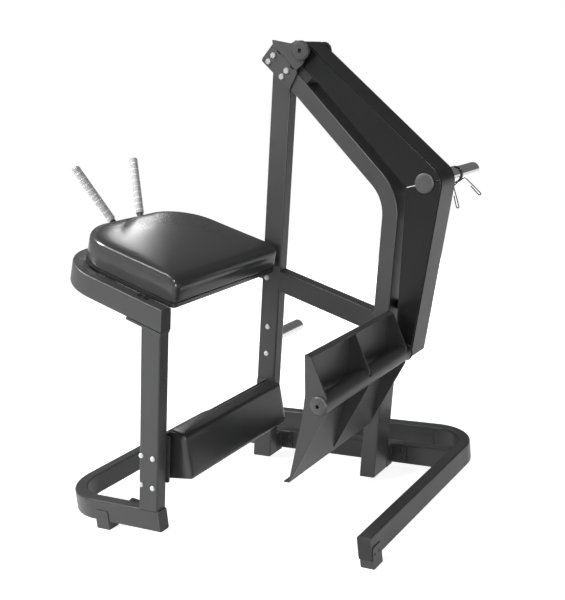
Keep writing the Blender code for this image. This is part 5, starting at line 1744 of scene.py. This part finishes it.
    @staticmethod
    def dome(start: Vector, radius: float, high: float, socket: bool) -> Mesh:
        """Low domed cap that faces the near side.

        Args:
            start: Centre of its foot.
            radius: Its radius.
            high: Its height.
            socket: Whether it has a hexagonal socket.

        Returns:
            The cap's mesh.
        """
        arc = [(0.0, radius * 0.985), (high * 0.08, radius)]
        arc += [(high * (0.20 + 0.80 * math.sin(math.radians(a))),
                 radius * (0.30 + 0.70 * math.cos(math.radians(a))))
                for a in range(0, 91, 6)]
        profile = [(0, 0), *arc]
        if socket:
            profile += [(high, 0.0068), (high - 0.0004, 0.0064), (high - 0.0110, 0.0060), (high - 0.0110, 0)]
        else:
            profile += [(high, 0)]
        bm = spun(start, NEARWARD, profile, 96)
        if socket:
            hex_well(bm, start, NEARWARD, 0.0065, high - 0.0115)
        return bm

    def _rod(self) -> None:
        """Turns the foot rod with its shoulder, and its cap."""
        start = drawn(self.rod[0], self.near - GAP, self.rod[1])
        long, collar = self.near - GAP - self.foot_near, self.near - GAP - self.foot_far - 0.001
        rod = spun(start, NEARWARD, [
            (0, 0), (0, 0.0288), (collar - 0.0008, 0.0288), (collar, 0.0280), (collar, 0.0240),
            (collar + 0.0004, 0.0238),
            (long - 0.0006, 0.0238), (long, 0.0232), (long, 0)], 96)
        finish_piece("foot_rod_turned", rod, BLACK_ARM, Body.ARM, ("foot_rod",), 50.0)
        cap = self.dome(drawn(self.rod[0], self.foot_near - GAP, self.rod[1]), 0.0290, 0.0130, True)
        finish_piece("rod_cap_domed", cap, GREY_CAP, Body.ARM, ("rod_cap",), 50.0)
        bead = ring_line(self.rod[0], self.near - 0.0016, self.rod[1], 0.0300)
        finish_piece("foot_rod_bead", swept_bar(bead, 0.0022, 8, 0.08), BLACK_ARM, Body.ARM, (), 70.0)

    def _clip(self) -> None:
        """Bends the wire clip: two coils on the horn and two hairpin handles."""
        radius, pitch = self.horn + 0.0004 + self.wire, 0.0048
        near, far = self.far + 0.1390, self.far + 0.1390 + 2 * pitch
        at = self.elbow
        first = [(-0.0057, -0.0730), (0.0007, -0.1136), (0.0028, -0.1165), (0.0086, -0.1158), (0.0108, -0.1126),
                 (-0.0048, -0.0448), (-0.0044, -0.0384)]
        last = [(0.0320, -0.0126), (0.0378, -0.0156), (0.0880, -0.0686), (0.0888, -0.0720), (0.0832, -0.0746),
                (0.0796, -0.0736), (0.0530, -0.0417)]
        spots = [drawn(at[0] + x, near, at[1] + z) for x, z in first]
        for k in range(145):
            a = math.radians(-51.3 + 708.2 * k / 144)
            spots.append(drawn(at[0] + radius * math.cos(a), near + (far - near) * k / 144,
                               at[1] + radius * math.sin(a)))
        spots += [drawn(at[0] + x, far, at[1] + z) for x, z in last]
        clip = swept_bar(softened_line(spots), self.wire, 12)
        finish_piece("wire_clip", clip, BLACKENED, Body.COLLAR, ("spring_collar",), 60.0)


@dataclass
class FootPlate:
    """Foot plate weldment: bent sheet, three ribs, sleeve, a black disc as painted shade for the grease slot, and
    beads.

    Attributes:
        rod: Centre of the foot rod in the side view.
        near: Near face.
        far: Far face.
        sleeve: Radius of the sleeve.
        bore: Radius of its bore.
    """

    rod: Pair = ROD
    near: float = FOOT_NEAR
    far: float = FOOT_FAR
    sleeve: float = 0.0288
    bore: float = 0.0243

    def _at(self, *corners: Triple) -> list[Triple]:
        """Corners set off from the rod."""
        return [(self.rod[0] + x, self.rod[1] + z, r) for x, z, r in corners]

    def build(self) -> None:
        """Builds the weldment."""
        sheet = bent_sheet(self._at((-0.0136, 0.1426, 0), (-0.0337, 0.1521, 0.003), (-0.0455, 0.0285, 0.020),
                                    (-0.0612, -0.0397, 0.020), (-0.1330, -0.2550, 0.003), (-0.1532, -0.2560, 0)),
                           self.near + 0.0045, self.far, 0.0040, Vector((0, 0, -1)))
        finish_piece("foot_sheet", sheet, CHARCOAL, Body.FOOT, ("foot_plate",))
        near_rib = self._at((-0.0341, 0.1526, 0.002), (-0.0460, 0.0285, 0.020), (-0.0617, -0.0397, 0.020),
                            (-0.1334, -0.2550, 0.002), (-0.1313, -0.2596, 0.002), (0.0206, -0.0276, 0.010),
                            (0.0241, 0.0286, 0.010), (-0.0132, 0.1431, 0.002))
        finish_piece("foot_rib_near", plate(near_rib, self.near, self.near + 0.0050, 0.0007), CHARCOAL,
                     Body.FOOT, ())
        inner = self._at((-0.0315, 0.1430, 0), (-0.0435, 0.0283, 0.020), (-0.0592, -0.0403, 0.020),
                         (-0.1265, -0.2420, 0), (-0.1215, -0.2420, 0), (0.0190, -0.0284, 0.010),
                         (0.0268, 0.0286, 0.010), (-0.0110, 0.1400, 0))
        for name, y in (("mid", (self.near + self.far) / 2 - 0.0045), ("far", self.far - 0.0052)):
            finish_piece("foot_rib_" + name, plate(inner, y, y + 0.0050, 0.0006), CHARCOAL, Body.FOOT, ())
        self._sleeve()
        self._beads()

    def _sleeve(self) -> None:
        """Turns the sleeve and lays a flat black rubber disc on its top, painted shade standing in for the dark
        grease slot.
        """
        start, long = drawn(self.rod[0], self.near + GAP, self.rod[1]), self.far - self.near + 0.0002
        bm = spun(start, FARWARD, [(0, self.bore), (0, self.sleeve - 0.0006), (0.0006, self.sleeve),
                                     (long - 0.0006, self.sleeve), (long, self.sleeve - 0.0006), (long, self.bore),
                                     (0, self.bore)], 96)
        finish_piece("foot_sleeve", bm, CHARCOAL, Body.FOOT, (), 50.0)
        out = Vector((0.953, 0, 0.303)).normalized()
        spot = drawn(self.rod[0], 0.3273, self.rod[1]) + out * (self.sleeve - 0.0006)
        slot = spun(spot, out, [(0, 0), (0, 0.0036), (0.0016, 0.0036), (0.0019, 0.0031), (0.0019, 0)], 24)
        along = Matrix.Scale(1.9, 4, FARWARD)
        bmesh.ops.transform(slot, matrix=along, space=Matrix.Translation(-spot), verts=slot.verts)
        finish_piece("grease_slot_painted_shade", slot, RUBBER, Body.FOOT, (), 50.0)

    def _beads(self) -> None:
        """Lays beads along the ribs."""
        line = self._at((-0.0270, 0.1380, 0), (-0.0397, 0.0300, 0), (-0.0555, -0.0410, 0), (-0.1200, -0.2350, 0))
        lines = []
        for y in (self.near + 0.0055, (self.near + self.far) / 2 - 0.0049, (self.near + self.far) / 2 + 0.0009,
                  self.far - 0.0057):
            spots = [drawn(x, y, z) for x, z, _ in line]
            lines += list(zip(spots, spots[1:]))
        weld("foot_rib_beads", Body.FOOT, *lines, radius=0.0009)


@dataclass
class KneeRest:
    """Plates and button screws that hold the knee pad between post and upright."""

    def build(self) -> None:
        """Builds the plates and the screws."""
        soften(CHARCOAL, 0.0008, "knee_back_plate", "knee_end_near", "knee_end_far")
        for i in range(1, 5):
            node = "knee_bolt_%d" % i
            low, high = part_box(node)
            spot = Vector(((low.x + high.x) / 2, drawn(0, -GAP, 0).y, (low.z + high.z) / 2))
            head = socket_head(spot, NEARWARD, 0.0092, 0.0050)
            long = high.y - spot.y
            shank = spun(spot, FARWARD,
                         [(0, 0), (0, 0.0039), (long - 0.0006, 0.0039), (long, 0.0033), (long, 0)], 24)
            # The heads take the near-white finish, a painted reflection of the bright room.
            finish_piece(node + "_head", joined(head, shank), PAINTED_GLINT_ZINC, Body.FRAME, (node,))


@dataclass
class StorageHorn:
    """Plate horn on the back of the upright."""

    x: float = 0.5150
    z: float = 0.5070
    back: float = 0.7483
    radius: float = HORN_RADIUS
    long: float = 0.1760

    def build(self) -> None:
        """Builds the horn and its plate."""
        long, radius = self.long, self.radius
        half_wide, half_high = 0.034, 0.068
        lean = math.tan(LEAN) * half_high
        corners = [(self.x + side * half_wide + end * lean, self.z + end * half_high, 0.004)
                   for side, end in ((-1, -1), (1, -1), (1, 1), (-1, 1))]
        sheet = plate(corners, self.back, self.back + 0.006, 0.0008)
        bar = spun(drawn(self.x, self.back + 0.0055, self.z), FARWARD, [
            (0, 0), (0, radius), *horn_end(radius, long)], 96)
        finish_piece("storage_horn_turned", joined(sheet, bar), PLATED, Body.FRAME, ("storage_horn",), 50.0)
        bead = ring_line(self.x, self.back + 0.0070, self.z, radius + 0.0012)
        finish_piece("storage_horn_bead", swept_bar(bead, 0.0020, 8, 0.08), PLATED, Body.FRAME, (), 70.0)


@dataclass
class Bumper:
    """Rubber stop on the column."""

    def build(self) -> None:
        """Turns the stop with its rounded lip."""
        low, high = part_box("bumper")
        way = dipped(column_slope())
        start = (low + high) / 2 - way * 0.01725
        bm = spun(start, way, [(0, 0), (0, 0.0166), (0.0004, 0.0170), (0.0060, 0.0170), (0.0070, 0.0158),
                               (0.0085, 0.0158), (0.0095, 0.0170), (0.0300, 0.0170), (0.0330, 0.0162),
                               (0.0342, 0.0146), (0.0345, 0.0125), (0.0345, 0)], 48)
        finish_piece("bumper_turned", bm, RUBBER, Body.FRAME, ("bumper",), 60.0)


# ---------------------------------------------------------------- studio


@dataclass(frozen=True)
class Lamp:
    """Soft rectangular lamp.

    Attributes:
        name: Name of the lamp.
        spot: Its place.
        aim: The point it faces.
        size: Its two sides.
        watts: Its power.
        spreads: Whether it lights matt surfaces, or shows in gloss alone.
        glossy: Whether gloss shows it.
    """

    name: str
    spot: Triple
    aim: Triple
    size: Pair
    watts: float
    spreads: bool = True
    glossy: bool = True

    def hang(self) -> None:
        """Adds the lamp to the scene."""
        data = bpy.data.lights.new(self.name, "AREA")
        data.shape, data.energy = "RECTANGLE", self.watts
        data.size, data.size_y = self.size
        item = bpy.data.objects.new(self.name, data)
        item.location = self.spot
        item.visible_diffuse, item.visible_glossy = self.spreads, self.glossy
        item.rotation_euler = (Vector(self.aim) - Vector(self.spot)).to_track_quat("-Z", "Y").to_euler()
        bpy.context.scene.collection.objects.link(item)


LAMPS = (
    Lamp("overhead", (-0.75, -1.8, 4.4), (0.0, 0.0, 0.6), (1.5, 0.7), 44.0),
    Lamp("front", (-2.7, -3.9, 2.4), (0.0, 0.0, 0.7), (2.0, 2.0), 194.0, glossy=False),
    Lamp("back_fill", (-0.6, 4.6, 1.1), (0.0, 0.0, 0.7), (2.4, 1.8), 80.0, glossy=False),
    Lamp("right_fill", (4.4, 0.2, 1.5), (0.2, 0.0, 0.7), (2.0, 2.4), 12.0),
    Lamp("edge_light", (-2.3, -0.9, 4.0), (0.1, 0.0, 0.9), (0.5, 1.5), 240.0, spreads=False),
    Lamp("arm_edge_light", (2.45, -2.27, 3.9), (0.2, 0.0, 1.1), (0.6, 0.6), 220.0, spreads=False),
    Lamp("pad_streak", (-2.16, 2.70, 3.06), (-0.42, -0.2, 1.0), (0.26, 0.55), 5.6, spreads=False),
    Lamp("pad_edge", (-0.80, -2.02, 4.86), (-0.3, -0.45, 1.0), (2.0, 0.30), 45.0, spreads=False),
    Lamp("corner_light", (3.6, -2.9, 0.7), (-0.2, -0.2, 0.6), (1.1, 1.3), 200.0, spreads=False),
)


@dataclass
class Studio:
    """Floor, lamps, world and camera.

    Attributes:
        camera_spot: Camera place in the row frame.
        lens: Focal length for a 36 mm sensor.
        right: Camera's right in the row frame.
        down: Camera's down.
        ahead: Camera's view direction.
    """

    camera_spot: Triple = (1.7856, -2.6784, 1.3685)
    lens: float = 55.67
    right: Triple = (0.84577163, 0.52515256, -0.094261)
    down: Triple = (0.02914944, -0.22188601, -0.97463681)
    ahead: Triple = (-0.53274821, 0.82157251, -0.20297279)

    def build(self) -> None:
        """Builds everything round the machine."""
        self.camera()
        self.floor()
        self.world()
        for lamp in LAMPS:
            lamp.hang()

    def camera(self) -> None:
        """Puts the camera where the photograph was taken from."""
        data = bpy.data.cameras.new("photo_camera")
        data.lens, data.sensor_width, data.sensor_fit = self.lens, 36.0, "AUTO"
        data.clip_start, data.clip_end = 0.05, 60.0
        item = bpy.data.objects.new("photo_camera", data)
        bpy.context.scene.collection.objects.link(item)
        right, up, back = Vector(self.right), -Vector(self.down), -Vector(self.ahead)
        turn = Matrix((right, up, back)).transposed().to_4x4()
        item.matrix_world = Matrix.Translation(Vector(self.camera_spot)) @ turn
        bpy.context.scene.camera = item

    def floor(self) -> None:
        """White floor that shows as pure white and keeps a soft shadow."""
        bm = bmesh.new()
        bmesh.ops.create_grid(bm, x_segments=1, y_segments=1, size=30.0)
        mesh = bpy.data.meshes.new("studio_floor")
        bm.to_mesh(mesh)
        bm.free()
        item = bpy.data.objects.new("studio_floor", mesh)
        bpy.context.scene.collection.objects.link(item)
        paint = bpy.data.materials.new("white_floor")
        paint.use_nodes = True
        tree = paint.node_tree
        tree.nodes.clear()
        out = tree.nodes.new("ShaderNodeOutputMaterial")
        matt = tree.nodes.new("ShaderNodeBsdfDiffuse")
        matt.inputs["Color"].default_value = (0.80, 0.80, 0.80, 1.0)
        glow = tree.nodes.new("ShaderNodeEmission")
        glow.inputs["Strength"].default_value = 0.86
        both = tree.nodes.new("ShaderNodeAddShader")
        mix = tree.nodes.new("ShaderNodeMixShader")
        rays = tree.nodes.new("ShaderNodeLightPath")
        seen = math_node(tree, "MAXIMUM", rays.outputs["Is Camera Ray"], rays.outputs["Is Glossy Ray"])
        seen = math_node(tree, "MAXIMUM", seen, rays.outputs["Is Transmission Ray"])
        wire(tree, matt.outputs[0], both.inputs[0])
        wire(tree, glow.outputs[0], both.inputs[1])
        wire(tree, seen, mix.inputs[0])
        wire(tree, matt.outputs[0], mix.inputs[1])
        wire(tree, both.outputs[0], mix.inputs[2])
        wire(tree, mix.outputs[0], out.inputs["Surface"])
        mesh.materials.append(paint)

    def world(self) -> None:
        """Dim even room light, seen as white by the camera alone."""
        made = bpy.data.worlds.new("studio_room")
        bpy.context.scene.world = made
        made.use_nodes = True
        tree = made.node_tree
        tree.nodes.clear()
        out = tree.nodes.new("ShaderNodeOutputWorld")
        seen, room = tree.nodes.new("ShaderNodeBackground"), tree.nodes.new("ShaderNodeBackground")
        seen.inputs["Color"].default_value = (1.0, 1.0, 1.0, 1.0)
        room.inputs["Color"].default_value = (0.18, 0.18, 0.18, 1.0)
        mix = tree.nodes.new("ShaderNodeMixShader")
        rays = tree.nodes.new("ShaderNodeLightPath")
        through = math_node(tree, "MAXIMUM", rays.outputs["Is Camera Ray"], rays.outputs["Is Transmission Ray"])
        wire(tree, through, mix.inputs[0])
        wire(tree, room.outputs[0], mix.inputs[1])
        wire(tree, seen.outputs[0], mix.inputs[2])
        wire(tree, mix.outputs[0], out.inputs["Surface"])
        bpy.context.scene.view_settings.view_transform = "Standard"


# ---------------------------------------------------------------- the machine


def dress_the_rest(done: set[str]) -> None:
    """Softens every CAD node that no class has replaced.

    Args:
        done: Names of the nodes that are already replaced.
    """
    slots = {part["node"]: part["material_slot"] for part in frame["record"]["subparts"]}
    bodies = frame["record"]["behaviour"]["bodies"]
    for body, nodes in bodies.items():
        for node in nodes:
            if node not in done:
                Softened(node, Body(body), BY_SLOT[Slot(slots[node])]).build()


def main() -> None:
    """Builds the machine and the studio."""
    logging.basicConfig(level=logging.INFO, format="%(name)s: %(message)s")
    Studio().build()
    for assembly in (BaseFrame(), LeftPost(), PadFrame(), TorsoPad(), KneePad(), Handles(), StandingFrame(),
                     StorageHorn(), PivotHead(), SwingArm(), FootPlate(), KneeRest(), Bumper()):
        assembly.build()
        LOG.info("built %s", type(assembly).__name__)
    done = {name for item in bpy.data.objects for name in item.get("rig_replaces", [])}
    dress_the_rest(done)


if __name__ == "__main__":
    main()
